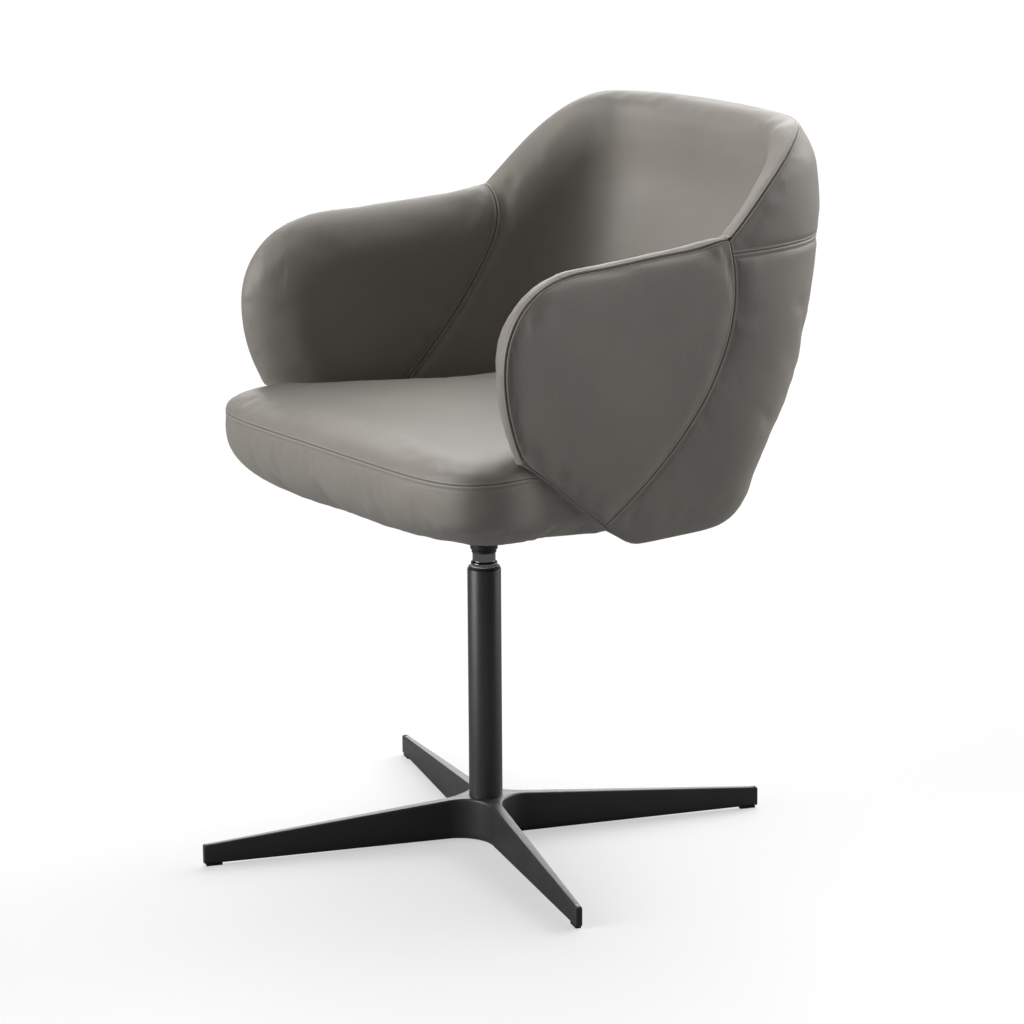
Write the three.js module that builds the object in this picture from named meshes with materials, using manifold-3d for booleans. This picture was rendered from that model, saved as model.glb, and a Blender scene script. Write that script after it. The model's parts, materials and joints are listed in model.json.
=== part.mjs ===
// Pedestal swivel armchair: an upholstered tub on a swivel column with a four-legged star base.
// Millimetres, +Z up. The column's axis is x = y = 0 and the floor is z = 0.
// The sitter faces -Y, and the sitter's left hand is towards +X.

import * as THREE from 'three';
import { mergeVertices } from 'three/addons/utils/BufferGeometryUtils.js';
import Module from 'manifold-3d';

const wasm = await Module();
wasm.setup();

// Fits
const touchGap = 0.3;
const runningGap = 0.08;
const fitGap = 0.1;
const cutOverrun = 5;

// Star base
const legReach = 330;
const legTurnDegrees = 72.7;
const legCount = 4;
const legTipHeight = 24.7;
const hubHeight = 50;
const legTipThickness = 7.5;
const legRootThickness = 13.4;
const legFilletRadius = 40;
const hubRadius = 26;
const glideHeight = 3;
const glideLength = 18;
const glideWidth = 6;
const glideSetback = 3;
const socketFloorHeight = 22;

// Column tube and its fixing
const columnDiameter = 38;
const columnWall = 2;
const columnTopHeight = 316;
const columnRimChamfer = 1.2;
const plugHeight = 24;
const columnBoltDiameter = 10;
const columnBoltHeadDiameter = 16;
const columnBoltHeadHeight = 6;
const columnBoltReach = 18;
const boltSocketDiameter = 8;
const boltSocketDepth = 4;
const boltWasherDiameter = 22;
const boltWasherThickness = 2;
const hubCapDiameter = 30;
const hubCapThickness = 2;

// Swivel
const spindleDiameter = 25;
const bushLength = 30;
const bushFlangeThickness = 1.6;
const bushFlangeDiameter = 35;
const lowerBushHeight = 150;
const thrustWasherThickness = 1;
const thrustWasherDiameter = 31;
const spindleTail = 12;
const circlipThickness = 1.2;
const circlipDiameter = 30;
const circlipGrooveDepth = 1;
const circlipOpening = 6;
const shoulderDiameter = 30;
const shoulderHeight = 3;
const shoulderTaper = 2;
const journalDiameter = 26;
const collarDiameter = 31;
const collarLipDiameter = 28;
const collarRise = 21;
const collarHeight = columnTopHeight + collarRise;
const collarLipHeight = 3;
const collarChamfer = 1.5;

// Seat support
const swivelStackHeight = 70;
const seatUndersideHeight = columnTopHeight + swivelStackHeight;
const seatPlateSide = 190;
const seatPlateThickness = 5;
const seatPlateCorner = 24;
const plateScrewSpacing = 150;
const plateScrewDiameter = 6;
const plateScrewHeadDiameter = 11;
const plateScrewHeadHeight = 3.2;
const undersideCoverThickness = 1.2;
const seatPanThickness = 12;
const seatPanHalfWidth = 131;
const seatPanFrontReach = 88;
const seatPanBackReach = 160;
const seatPanCornerRadius = 60;
const teeNutDiameter = 18;
const teeNutFlange = 1.4;
const teeNutBarrelDiameter = 8.4;
const plateScrewHeadEase = 1;
const plateScrewReachBelowTop = 2;
const seatPanClearance = 2.2;
const undersideCoverLap = 8;
const undersideCoverBackReach = 178;

// Tub: heights above the floor, reaches from the column's axis
const tubFloorDrop = 13;
const tubFloorHeight = seatUndersideHeight - tubFloorDrop;
const tubHalfWidth = 239;
const tubDepth = 358;
const tubBendCentre = 100;
const armFrontReach = 152;
const armHeelRise = 19;
const armHeelHeight = seatUndersideHeight + armHeelRise;
const armFootRise = 113;
const armFootHeight = seatUndersideHeight + armFootRise;
const armTopRise = 308;
const armTopHeight = seatUndersideHeight + armTopRise;
const armNoseShare = 94 / 195;
const armNoseHeight = armFootHeight + (armTopHeight - armFootHeight) * armNoseShare;
const armRearRise = 5;
const armCornerLength = 120;
const armFootReach = 126;
const armHeelRun = 92;
const junctionRise = 5;
const junctionHeight = armTopHeight + armRearRise + junctionRise;
const shoulderRise = 102;
const crownRise = 6;
const tubHeight = junctionHeight + shoulderRise + crownRise - tubFloorHeight;
const armSplayStart = 170;
const armSplayBlend = 60;
const armThickness = 46;
const backThickness = 54;
const rollDrop = 58;
const bucketFloorLift = 32;
const bucketFootThickening = 17;
const bucketFootRise = 25;
const leatherThickness = 1.5;
const foamInset = 2.4;
const seamGap = 0.5;
const rimLap = 2.4;

// Seat cushion
const seatSeamRise = 95;
const seatSeamHeight = seatUndersideHeight + seatSeamRise;
const seatFrontReach = 212;
const seatHalfWidth = 254;
const seatMiddleSetback = 60;
const seatWaistHalfWidth = 205;
const seatWaistReach = 60;
const seatRearReach = 262;
const seatCrown = 27;
const seatShoulder = 60;
const seatUndersideInset = 125;
const seatMouthLap = 4;
const seatMouthDepth = 3;
const seatToTubGap = 1;
const seatWaistStart = 120;
const seatWaistEnd = 115;

// Cutting blocks reach past every piece
const wideReach = tubDepth + seatHalfWidth;

// Tub frame
const frameTubeDiameter = 16;
const frameTabLength = 44;
const frameTabWidth = 30;
const frameTabThickness = 4;
const tabInset = 31;
const frameFootReach = 62;
const frameKneeRun = 38;
const frameKneeRise = 26.5;
const frameLean = 60;
const frameArmDepth = 46;
const frameClearance = 1;
const panSideClearance = 1;

// Seams of the tub, in the side view
const junctionReach = 162;
const armHeelReach = -4;
const outerSeamBulge = 28;
const outerSeamUpperDrop = 99;
const outerSeamLowerReach = 132;
const outerSeamLowerShare = 105 / 299;
const outerSeamLowerHeight = armHeelHeight + (junctionHeight - armHeelHeight) * outerSeamLowerShare;
const innerSeamUpperDrop = 64;
const innerSeamLowerReach = 110;
const innerSeamLowerShare = 155 / 299;
const innerSeamLowerHeight = armHeelHeight + (junctionHeight - armHeelHeight) * innerSeamLowerShare;
const innerSeamFootReach = 0;
const innerSeamFootDrop = 19;
const innerSeamFootHeight = seatSeamHeight - innerSeamFootDrop;
const seamTailRun = -60;
const backSeamDrop = 18;
const backSeamHeight = junctionHeight - backSeamDrop;
const borderRearReach = 60;
const outerLeadRun = 4.6;
const innerLeadRun = 2;

// Shares, chosen by eye from the outline
const armSplayShare = 0.085;
const planSquarenessShare = 3.6;
const seatSquarenessShare = 6.3;
const seatRearSquarenessShare = 3.6;
const seatSideShare = 3.2;
const seatHemShare = 1.9;
const wingCurveShare = 1.15;
const rimCornerShare = 2.2;
const quarterTurnShare = 0.86;
const seatRearInsetShare = 0.36;
const seatRoundShare = 2.4;
const seatShoulderShare = 0.85;
const mitreLimitShare = 0.45;
const lapLimitShare = 1 / 3;
const normalStepShare = 0.002;
const bottomRingShare = 0.6;
const wallCrowdShare = 1.7;
const noseCrowdShare = 2;
const crownCrowdShare = 1.5;
const borderCrowdShare = 1.8;
const frameMiddleShare = 0.5;
const frameBendShares = [1.35, 1.7];
const junctionTurnShare = 15 / 90;
const shoulderTurnShare = 51 / 90;
// Each row: share of the tub's height, of its half width, and of its depth
const wallShares = [
  [0, 0.69, 0.58],
  [0.007, 0.765, 0.635],
  [0.023, 0.85, 0.685],
  [0.068, 0.918, 0.73],
  [0.128, 0.946, 0.755],
  [0.21, 0.975, 0.806],
  [0.298, 0.992, 0.867],
  [0.4, 1, 0.916],
  [0.497, 1, 0.95],
  [0.58, 0.996, 0.975],
  [0.7, 0.984, 1.002],
  [0.79, 0.976, 1.014],
  [0.888, 0.962, 1.004],
  [1, 0.926, 0.944],
];
// Fineness of the faceted surfaces
const weldDistance = 0.001;
const degenerateArea = 0.0001;
const roundSegments = 32;
const smallSegments = 12;
const crownSegments = 64;
const hexSides = 6;
const barSides = 4;
const filletSteps = 6;
const cornerSteps = 5;
const armSteps = 7;
const bendSteps = 8;
const wallSteps = 8;
const rimPathSteps = 80;
const footPathSteps = 12;
const seamSteps = 12;
const seatStations = 32;
const crownSteps = 4;
const borderSteps = 4;
const hoopSteps = 36;
const strutSteps = 12;

// Small helpers

function smoothstep(share) {
  const t = Math.min(Math.max(share, 0), 1);
  return t * t * (3 - 2 * t);
}

function held(value, low, high) {
  return Math.min(Math.max(value, low), high);
}

function mix(a, b, share) {
  return a + (b - a) * share;
}

// A smooth curve through rows of [place, value, value...] that never overshoots
function curveThrough(rows, column) {
  const steps = rows.slice(1).map((row, k) => (row[column] - rows[k][column]) / (row[0] - rows[k][0]));
  const slopes = rows.map((row, k) => {
    if (k === 0) return steps[0];
    if (k === rows.length - 1) return steps[k - 1];
    if (steps[k - 1] * steps[k] <= 0) return 0;
    return (2 * steps[k - 1] * steps[k]) / (steps[k - 1] + steps[k]);
  });
  return (place) => {
    const x = Math.min(Math.max(place, rows[0][0]), rows[rows.length - 1][0]);
    let k = 0;
    while (k < rows.length - 2 && x > rows[k + 1][0]) k += 1;
    const span = rows[k + 1][0] - rows[k][0];
    const t = (x - rows[k][0]) / span;
    const rise = (rows[k + 1][column] - rows[k][column]) * smoothstep(t);
    const start = slopes[k] * span * t * (1 - t) * (1 - t);
    const end = slopes[k + 1] * span * t * t * (1 - t);
    const base = rows[k][column];
    return base + rise + start - end;
  };
}

function signedVolume(positions, indices) {
  const corner = (n) => new THREE.Vector3().fromArray(positions, indices[n] * 3);
  let volume = 0;
  for (let n = 0; n < indices.length; n += 3) {
    volume += corner(n).dot(corner(n + 1).cross(corner(n + 2)));
  }
  return volume;
}

// Welds a closed geometry and makes a solid of it, with its faces pointing out
function toSolid(geometry) {
  const bare = new THREE.BufferGeometry();
  bare.setAttribute('position', geometry.getAttribute('position').clone());
  if (geometry.index) bare.setIndex(geometry.index.clone());
  const welded = mergeVertices(bare, weldDistance);
  const positions = welded.getAttribute('position').array;
  const source = welded.index.array;
  const kept = [];
  for (let n = 0; n < source.length; n += 3) {
    const [a, b, c] = [source[n], source[n + 1], source[n + 2]];
    if (a !== b && b !== c && c !== a) kept.push(a, b, c);
  }
  if (signedVolume(positions, kept) < 0) kept.reverse();
  const mesh = new wasm.Mesh({
    numProp: 3,
    vertProperties: Float32Array.from(positions),
    triVerts: Uint32Array.from(kept),
  });
  return new wasm.Manifold(mesh);
}

function toGeometry(solid) {
  const mesh = solid.getMesh();
  const geometry = new THREE.BufferGeometry();
  geometry.setAttribute('position', new THREE.BufferAttribute(Float32Array.from(mesh.vertProperties), 3));
  geometry.setIndex(new THREE.BufferAttribute(Uint32Array.from(mesh.triVerts), 1));
  geometry.computeVertexNormals();
  return geometry;
}

// A solid of revolution about the vertical axis, from a closed profile of [radius, height]
function turned(profile, segments = roundSegments) {
  const points = profile.map(([radius, height]) => new THREE.Vector2(radius, height));
  points.push(points[0].clone());
  const geometry = new THREE.LatheGeometry(points, segments);
  geometry.rotateX(Math.PI / 2);
  return toSolid(geometry);
}

function shapeOf(points) {
  return new THREE.Shape(points.map(([x, y]) => new THREE.Vector2(x, y)));
}

// An upright slab of the given outline between two heights
function slab(outline, low, high, curveSegments = 8) {
  const shape = outline instanceof THREE.Shape ? outline : shapeOf(outline);
  const depth = high - low;
  const geometry = new THREE.ExtrudeGeometry(shape, { depth, bevelEnabled: false, curveSegments });
  geometry.translate(0, 0, low);
  return toSolid(geometry);
}

// A wall whose outline is drawn in the side view, as [y, z] points, running across the chair
function sideBlock(points, halfWidth) {
  const shape = shapeOf(points);
  const geometry = new THREE.ExtrudeGeometry(shape, { depth: 2 * halfWidth, bevelEnabled: false });
  geometry.translate(0, 0, -halfWidth);
  const frame = new THREE.Matrix4();
  frame.makeBasis(new THREE.Vector3(0, 1, 0), new THREE.Vector3(0, 0, 1), new THREE.Vector3(1, 0, 0));
  geometry.applyMatrix4(frame);
  return toSolid(geometry);
}

function roundedRectangle(halfX, lowY, highY, corner) {
  const shape = new THREE.Shape();
  shape.moveTo(-halfX + corner, lowY);
  shape.lineTo(halfX - corner, lowY);
  shape.absarc(halfX - corner, lowY + corner, corner, -Math.PI / 2, 0, false);
  shape.lineTo(halfX, highY - corner);
  shape.absarc(halfX - corner, highY - corner, corner, 0, Math.PI / 2, false);
  shape.lineTo(-halfX + corner, highY);
  shape.absarc(-halfX + corner, highY - corner, corner, Math.PI / 2, Math.PI, false);
  shape.lineTo(-halfX, lowY + corner);
  shape.absarc(-halfX + corner, lowY + corner, corner, Math.PI, Math.PI * 1.5, false);
  return shape;
}

// A round bar along a path of bends
function bentBar(path, diameter, steps) {
  const section = new THREE.Shape();
  section.absarc(0, 0, diameter / 2, 0, Math.PI * 2, false);
  const curve = new THREE.CatmullRomCurve3(path, false, 'centripetal');
  const geometry = new THREE.ExtrudeGeometry(section, { steps, curveSegments: barSides, extrudePath: curve });
  return toSolid(geometry);
}

// The main lump of a solid, without the crumbs that a cut leaves at its thin edges
function largest(solid) {
  return solid.decompose().reduce((most, lump) => (lump.volume() > most.volume() ? lump : most));
}

function place(solid, x, y, z = 0) {
  return solid.translate([x, y, z]);
}

// Grids of points that become closed skins and closed bodies

function gridNormals(grid) {
  const at = (i, j) => grid[held(i, 0, grid.length - 1)][held(j, 0, grid[0].length - 1)];
  return grid.map((line, i) => line.map((_, j) => {
    const along = at(i + 1, j).clone().sub(at(i - 1, j));
    const across = at(i, j + 1).clone().sub(at(i, j - 1));
    return along.cross(across).normalize();
  }));
}

function gridSolid(front, back) {
  const rows = front.length;
  const columns = front[0].length;
  const points = [...front.flat(), ...back.flat()];
  const half = rows * columns;
  const indices = [];
  const quad = (a, b, c, d) => indices.push(a, b, c, a, c, d);
  const id = (i, j) => i * columns + j;
  for (let i = 0; i < rows - 1; i += 1) {
    for (let j = 0; j < columns - 1; j += 1) {
      quad(id(i, j), id(i + 1, j), id(i + 1, j + 1), id(i, j + 1));
      quad(half + id(i, j), half + id(i, j + 1), half + id(i + 1, j + 1), half + id(i + 1, j));
    }
  }
  const wall = (a, b) => quad(a, b, half + b, half + a);
  for (let i = 0; i < rows - 1; i += 1) {
    wall(id(i + 1, 0), id(i, 0));
    wall(id(i, columns - 1), id(i + 1, columns - 1));
  }
  for (let j = 0; j < columns - 1; j += 1) {
    wall(id(0, j), id(0, j + 1));
    wall(id(rows - 1, j + 1), id(rows - 1, j));
  }
  const geometry = new THREE.BufferGeometry().setFromPoints(points);
  geometry.setIndex(indices);
  return toSolid(geometry);
}

// A skin behind an open grid of points, or standing proud of it
function skin(grid, thickness, proud) {
  const normals = gridNormals(grid);
  const moved = (reach) => grid.map((line, i) => line.map((point, j) => (
    point.clone().addScaledVector(normals[i][j], reach)
  )));
  return gridSolid(moved(proud), moved(-thickness));
}

// A closed body from rings of points; each ring closes on itself, and the end rings shrink to points
function ringBody(rings, inset) {
  const columns = rings[0].length;
  const geometry = new THREE.BufferGeometry().setFromPoints(rings.flat());
  const indices = [];
  for (let i = 0; i < rings.length - 1; i += 1) {
    for (let j = 0; j < columns; j += 1) {
      const next = (j + 1) % columns;
      const [a, b] = [i * columns + j, i * columns + next];
      indices.push(a, a + columns, b + columns, a, b + columns, b);
    }
  }
  geometry.setIndex(indices);
  const welded = mergeVertices(geometry, weldDistance);
  return toSolid(insetGeometry(welded, inset));
}

// Moves each corner of a welded body inwards, so that every face around it moves by about the inset
function insetGeometry(geometry, inset) {
  if (inset === 0) return geometry;
  const positions = geometry.getAttribute('position');
  const faces = geometry.index.array;
  const corner = (n) => new THREE.Vector3().fromBufferAttribute(positions, faces[n]);
  const turn = signedVolume(positions.array, faces) < 0 ? -1 : 1;
  const around = Array.from({ length: positions.count }, () => []);
  for (let n = 0; n < faces.length; n += 3) {
    const a = corner(n);
    const normal = corner(n + 1).sub(a).cross(corner(n + 2).sub(a));
    if (normal.length() > degenerateArea) {
      normal.normalize().multiplyScalar(turn);
      for (let k = 0; k < 3; k += 1) around[faces[n + k]].push(normal);
    }
  }
  around.forEach((normals, vertex) => {
    const mean = normals.reduce((sum, normal) => sum.add(normal), new THREE.Vector3()).normalize();
    const least = Math.min(...normals.map((normal) => normal.dot(mean)));
    const reach = inset / Math.max(least, mitreLimitShare);
    const point = new THREE.Vector3().fromBufferAttribute(positions, vertex).addScaledVector(mean, -reach);
    positions.setXYZ(vertex, point.x, point.y, point.z);
  });
  return geometry;
}

// The tub's outer wall

const wallWidthShare = curveThrough(wallShares, 1);
const wallDepthShare = curveThrough(wallShares, 2);
const tubTopHeight = tubFloorHeight + tubHeight;
const armRun = armFrontReach + tubBendCentre;

function wallHalfWidth(z) {
  return tubHalfWidth * wallWidthShare((z - tubFloorHeight) / tubHeight);
}

function wallDepth(z) {
  return tubDepth * wallDepthShare((z - tubFloorHeight) / tubHeight);
}

function splay(y) {
  const run = Math.max(armSplayStart - y, 0);
  return (armSplayShare * run * run) / (run + armSplayBlend);
}

// A point of the outer wall: station 0 to 1 runs along the arm, 1 to 2 round the bend to the back's middle
function wallPoint(station, z) {
  if (station <= 1) {
    const y = mix(-armFrontReach, tubBendCentre, station);
    return new THREE.Vector2(wallHalfWidth(z) + splay(y), y);
  }
  const turn = ((station - 1) * Math.PI) / 2;
  const halfWidth = wallHalfWidth(z);
  const depth = wallDepth(z) - tubBendCentre;
  const [c, s] = [Math.cos(turn), Math.sin(turn)];
  const n = planSquarenessShare;
  const reach = ((Math.abs(c) / halfWidth) ** n + (Math.abs(s) / depth) ** n) ** (-1 / n);
  const y = tubBendCentre + reach * s;
  return new THREE.Vector2(reach * c + splay(y) * smoothstep(2 - station), y);
}

function wallNormal(station, z) {
  const low = wallPoint(Math.max(station - normalStepShare, 0), z);
  const high = wallPoint(Math.min(station + normalStepShare, 2), z);
  const along = high.sub(low).normalize();
  return new THREE.Vector2(along.y, -along.x);
}

// The rim and the lower edge, as heights along the stations

function rimHeight(station) {
  if (station <= 1) {
    const y = mix(-armFrontReach, tubBendCentre, station);
    const along = armFrontReach + y;
    const run = held(along / armCornerLength, 0, 1);
    const rise = (1 - (1 - run) ** rimCornerShare) ** (1 / rimCornerShare);
    const rear = smoothstep((along - armCornerLength) / (armRun - armCornerLength));
    return mix(armNoseHeight, armTopHeight, rise) + armRearRise * rear;
  }
  const turn = station - 1;
  const armRear = armTopHeight + armRearRise;
  if (turn < junctionTurnShare) return mix(armRear, junctionHeight, turn / junctionTurnShare);
  const climb = Math.min((turn - junctionTurnShare) / (shoulderTurnShare - junctionTurnShare), 1);
  const crown = smoothstep((turn - junctionTurnShare) / (1 - junctionTurnShare));
  const wing = shoulderRise * Math.sin((climb * Math.PI) / 2) ** wingCurveShare;
  return junctionHeight + wing + crownRise * crown;
}

function lowerEdgeHeight(station) {
  if (station >= 1) return tubFloorHeight;
  const y = mix(-armFrontReach, tubBendCentre, station);
  if (y < -armFootReach) {
    const run = (y + armFrontReach) / (armFrontReach - armFootReach);
    return armNoseHeight - (armNoseHeight - armFootHeight) * Math.sqrt(Math.max(run, 0));
  }
  if (y < 0) return mix(armHeelHeight, armFootHeight, -y / armFootReach);
  return mix(armHeelHeight, tubFloorHeight, heelEase(y / armHeelRun));
}

function heelEase(share) {
  const t = Math.min(share, 1);
  return 1 - (1 - t) * (1 - t);
}

// How far a point of the wall lies from the rim, in the unrolled side view
const rimPath = Array.from({ length: rimPathSteps + 1 }, (_, k) => {
  const station = (2 * k) / rimPathSteps;
  return unrolled(station, rimHeight(station));
});
const armFootPath = Array.from({ length: footPathSteps + 1 }, (_, k) => {
  const reach = (armFrontReach - armFootReach) / armRun;
  const station = reach * (k / footPathSteps) ** noseCrowdShare;
  return unrolled(station, lowerEdgeHeight(station));
});

function unrolled(station, z) {
  if (station <= 1) return new THREE.Vector2(station * armRun, z);
  const bend = wallHalfWidth(junctionHeight) + wallDepth(junctionHeight) - tubBendCentre;
  const quarter = bend * quarterTurnShare;
  return new THREE.Vector2(armRun + (station - 1) * quarter, z);
}

function distanceTo(path, point) {
  let least = Infinity;
  for (let k = 1; k < path.length; k += 1) {
    const side = path[k].clone().sub(path[k - 1]);
    const away = point.clone().sub(path[k - 1]);
    const t = Math.min(Math.max(away.dot(side) / side.lengthSq(), 0), 1);
    least = Math.min(least, away.addScaledVector(side, -t).length());
  }
  return least;
}

function rimDistance(station, z) {
  const point = unrolled(station, z);
  return Math.min(distanceTo(rimPath, point), distanceTo(armFootPath, point));
}

// The roll under the rim is a quarter of an ellipse; below it the tub keeps its thickness
function tubThickness(station, z) {
  const full = mix(armThickness, backThickness, smoothstep(station - 1));
  const roll = 1 - Math.min(rimDistance(station, z) / rollDrop, 1);
  const above = (z - tubFloorHeight - bucketFloorLift) / bucketFootRise;
  const foot = Math.min(Math.max(1 - above, 0), 1) * smoothstep(station * 2 - 1);
  return full * Math.sqrt(1 - roll * roll) + bucketFootThickening * foot * foot;
}

function outerPoint(station, z) {
  const p = wallPoint(station, z);
  return new THREE.Vector3(p.x, p.y, z);
}

function innerPoint(station, z) {
  const p = wallPoint(station, z).addScaledVector(wallNormal(station, z), -tubThickness(station, z));
  return new THREE.Vector3(p.x, p.y, z);
}

// Stations crowd at the arm's nose, where the outline turns
const armStations = Array.from({ length: armSteps + 1 }, (_, k) => (k / armSteps) ** noseCrowdShare);
const bendStations = Array.from({ length: bendSteps }, (_, k) => 1 + (k + 1) / bendSteps);
const halfStations = [...armStations, ...bendStations];
const outerShares = Array.from({ length: wallSteps + 1 }, (_, k) => (k / wallSteps) ** wallCrowdShare);
const innerShares = Array.from({ length: wallSteps + 1 }, (_, k) => 1 - (k / wallSteps) ** wallCrowdShare);

function innerFloor(station) {
  return lowerEdgeHeight(station) + bucketFloorLift * smoothstep(station * 2 - 1);
}

function mirrored(point) {
  return new THREE.Vector3(-point.x, point.y, point.z);
}

// Both sides of the chair from the stations of one side, through the back's middle
function bothSides(lines) {
  const others = lines.slice(0, -1).map((line) => line.map(mirrored)).reverse();
  return [...lines, ...others];
}

function tubBody(inset) {
  const rings = halfStations.map((station) => {
    const top = rimHeight(station);
    const low = lowerEdgeHeight(station);
    const floor = innerFloor(station);
    const outer = outerShares.map((share) => outerPoint(station, mix(low, top, share)));
    const inner = innerShares.slice(1).map((share) => innerPoint(station, mix(floor, top, share)));
    return [...outer, ...inner];
  });
  return ringBody(bothSides(rings), inset);
}

const outerLeadStation = outerLeadRun / armRun;
const innerLeadStation = innerLeadRun / armRun;

function outerSkin(thickness, proud) {
  const lines = halfStations.map((station) => {
    const from = Math.max(station, outerLeadStation);
    const low = lowerEdgeHeight(from);
    const top = rimHeight(from);
    const lap = Math.min(rimLap, (top - low) * lapLimitShare);
    return outerShares.map((share) => outerPoint(from, held(mix(low, top, share), low + lap, top - lap)));
  });
  return skin(bothSides(lines), thickness, proud);
}

function innerSkin(thickness, proud) {
  const lines = halfStations.map((station) => {
    const from = Math.max(station, innerLeadStation);
    const low = innerFloor(from);
    const top = rimHeight(from);
    const lap = Math.min(seamGap, (top - low) * lapLimitShare);
    return innerShares.map((share) => innerPoint(from, held(mix(low, top, share), low + lap, top - lap)));
  });
  return skin(bothSides(lines), thickness, proud);
}

// The seat cushion's outer form

function seatWaist(y) {
  const share = smoothstep((y + seatWaistStart) / (seatWaistStart + seatWaistEnd));
  return mix(1, seatWaistHalfWidth / seatHalfWidth, share);
}

function seatOutline(turn, inset) {
  const [c, s] = [Math.cos(turn), Math.sin(turn)];
  const front = s < 0;
  const n = front ? seatSquarenessShare : seatRearSquarenessShare;
  const depth = front ? seatFrontReach - seatMiddleSetback : seatRearReach + seatMiddleSetback;
  const reach = ((Math.abs(c) / seatHalfWidth) ** n + (Math.abs(s) / depth) ** n) ** (-1 / n);
  const y = reach * s - seatMiddleSetback;
  const waist = seatWaist(y);
  const drawn = inset * mix(1, seatRearInsetShare, smoothstep((y + seatWaistReach) / (2 * seatWaistReach)));
  const x = reach * c * waist * (1 - drawn / (seatHalfWidth * waist));
  return new THREE.Vector2(x, reach * s * (1 - drawn / depth) - seatMiddleSetback);
}

// The border stands almost upright under the seam, then rounds under to the flat underside
function seatInsetAt(dropShare) {
  return 1 - (1 - dropShare ** seatSideShare) ** (1 / seatHemShare);
}

const seatDrop = seatSeamHeight - seatUndersideHeight;

function seatBorderPoint(turn, dropShare) {
  const p = seatOutline(turn, seatUndersideInset * seatInsetAt(dropShare));
  return new THREE.Vector3(p.x, p.y, seatSeamHeight - seatDrop * dropShare);
}

// Above the seam the cushion rises in a round shoulder, then in a low dome
function seatCrownPoint(turn, share) {
  const inset = seatShoulder * Math.min(share * 2, 1);
  const centreShare = Math.max(share * 2 - 1, 0);
  const round = (1 - (1 - inset / seatShoulder) ** seatRoundShare) ** (1 / seatRoundShare);
  const p = seatOutline(turn, inset).multiplyScalar(1 - centreShare);
  const dome = smoothstep(centreShare) * (1 - seatShoulderShare);
  return new THREE.Vector3(p.x, p.y, seatSeamHeight + seatCrown * (seatShoulderShare * round + dome));
}

const seatTurns = Array.from({ length: seatStations }, (_, k) => (k / seatStations) * Math.PI * 2);
const borderDrops = Array.from({ length: borderSteps + 1 }, (_, k) => (
  1 - (1 - k / borderSteps) ** borderCrowdShare
));
const crownShares = Array.from({ length: crownSteps }, (_, k) => ((k + 1) / crownSteps) ** crownCrowdShare);

function seatBlank(inset) {
  const bottom = [0, bottomRingShare].map((share) => seatTurns.map((turn) => {
    const p = seatOutline(turn, seatUndersideInset).multiplyScalar(share);
    return new THREE.Vector3(p.x, p.y, seatUndersideHeight);
  }));
  const drops = [...borderDrops].reverse();
  const border = drops.map((drop) => seatTurns.map((turn) => seatBorderPoint(turn, drop)));
  const crown = crownShares.map((share) => seatTurns.map((turn) => seatCrownPoint(turn, share)));
  return ringBody([...bottom, ...border, ...crown], inset);
}

function seatSkin() {
  return seatBlank(0).subtract(seatBlank(leatherThickness));
}

// A wide block between two heights, from one reach to another along Y
function band(low, high, fromY = -wideReach, toY = wideReach) {
  const side = [[-wideReach, fromY], [wideReach, fromY], [wideReach, toY], [-wideReach, toY]];
  return slab(side, low, high);
}

function seatOutlineShape(inset) {
  return seatTurns.map((turn) => {
    const p = seatOutline(turn, inset);
    return [p.x, p.y];
  });
}

// Seams of the tub, drawn in the side view
function seamCurve(handles) {
  const [a, b, c, d] = handles.map(([y, z]) => new THREE.Vector2(y, z));
  return new THREE.CubicBezierCurve(a, b, c, d).getPoints(seamSteps).map((p) => [p.x, p.y]);
}

// The block in front of a seam, moved back or forward by half the seam's gap
function blockAhead(points, shift) {
  const first = points[0];
  const last = points[points.length - 1];
  const moved = points.map(([y, z]) => [y + shift, z]);
  const above = [first[0] + shift, tubTopHeight + cutOverrun];
  const below = [last[0] + shift + seamTailRun, tubFloorHeight - cutOverrun];
  const ahead = -armFrontReach - cutOverrun;
  const outline = [[ahead, below[1]], below, ...moved.slice().reverse(), above, [ahead, above[1]]];
  return sideBlock(outline, wideReach);
}

const outerSeam = seamCurve([
  [junctionReach, junctionHeight],
  [junctionReach + outerSeamBulge, junctionHeight - outerSeamUpperDrop],
  [outerSeamLowerReach, outerSeamLowerHeight],
  [armHeelReach, armHeelHeight],
]);
const innerSeam = seamCurve([
  [junctionReach, junctionHeight],
  [junctionReach, junctionHeight - innerSeamUpperDrop],
  [innerSeamLowerReach, innerSeamLowerHeight],
  [innerSeamFootReach, innerSeamFootHeight],
]);

function sideHalf(sign) {
  const edge = sign * seamGap / 2;
  const far = sign * wideReach;
  const box = [[edge, -wideReach], [far, -wideReach], [far, wideReach], [edge, wideReach]];
  return slab(sign > 0 ? box : box.reverse(), 0, tubTopHeight + wideReach);
}

// Base

function legCorners(index) {
  const turn = THREE.MathUtils.degToRad(legTurnDegrees + (index * 360) / legCount);
  return (along, across) => [
    along * Math.cos(turn) - across * Math.sin(turn),
    along * Math.sin(turn) + across * Math.cos(turn),
  ];
}

// Plan of the star: each leg's two sides run into the next leg's by a round inside corner
function starOutline() {
  const tip = legTipThickness / 2;
  const root = legRootThickness / 2;
  const centre = (hubRadius + legFilletRadius) * Math.SQRT1_2;
  const points = [];
  for (let index = 0; index < legCount; index += 1) {
    const at = legCorners(index);
    points.push(at(centre, -root), at(legReach, -tip), at(legReach, tip), at(centre, root));
    for (let step = 1; step < filletSteps; step += 1) {
      const angle = -Math.PI / 2 - (Math.PI / 2) * (step / filletSteps);
      const radius = legFilletRadius;
      points.push(at(centre + radius * Math.cos(angle), centre + radius * Math.sin(angle)));
    }
  }
  return points;
}

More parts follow.
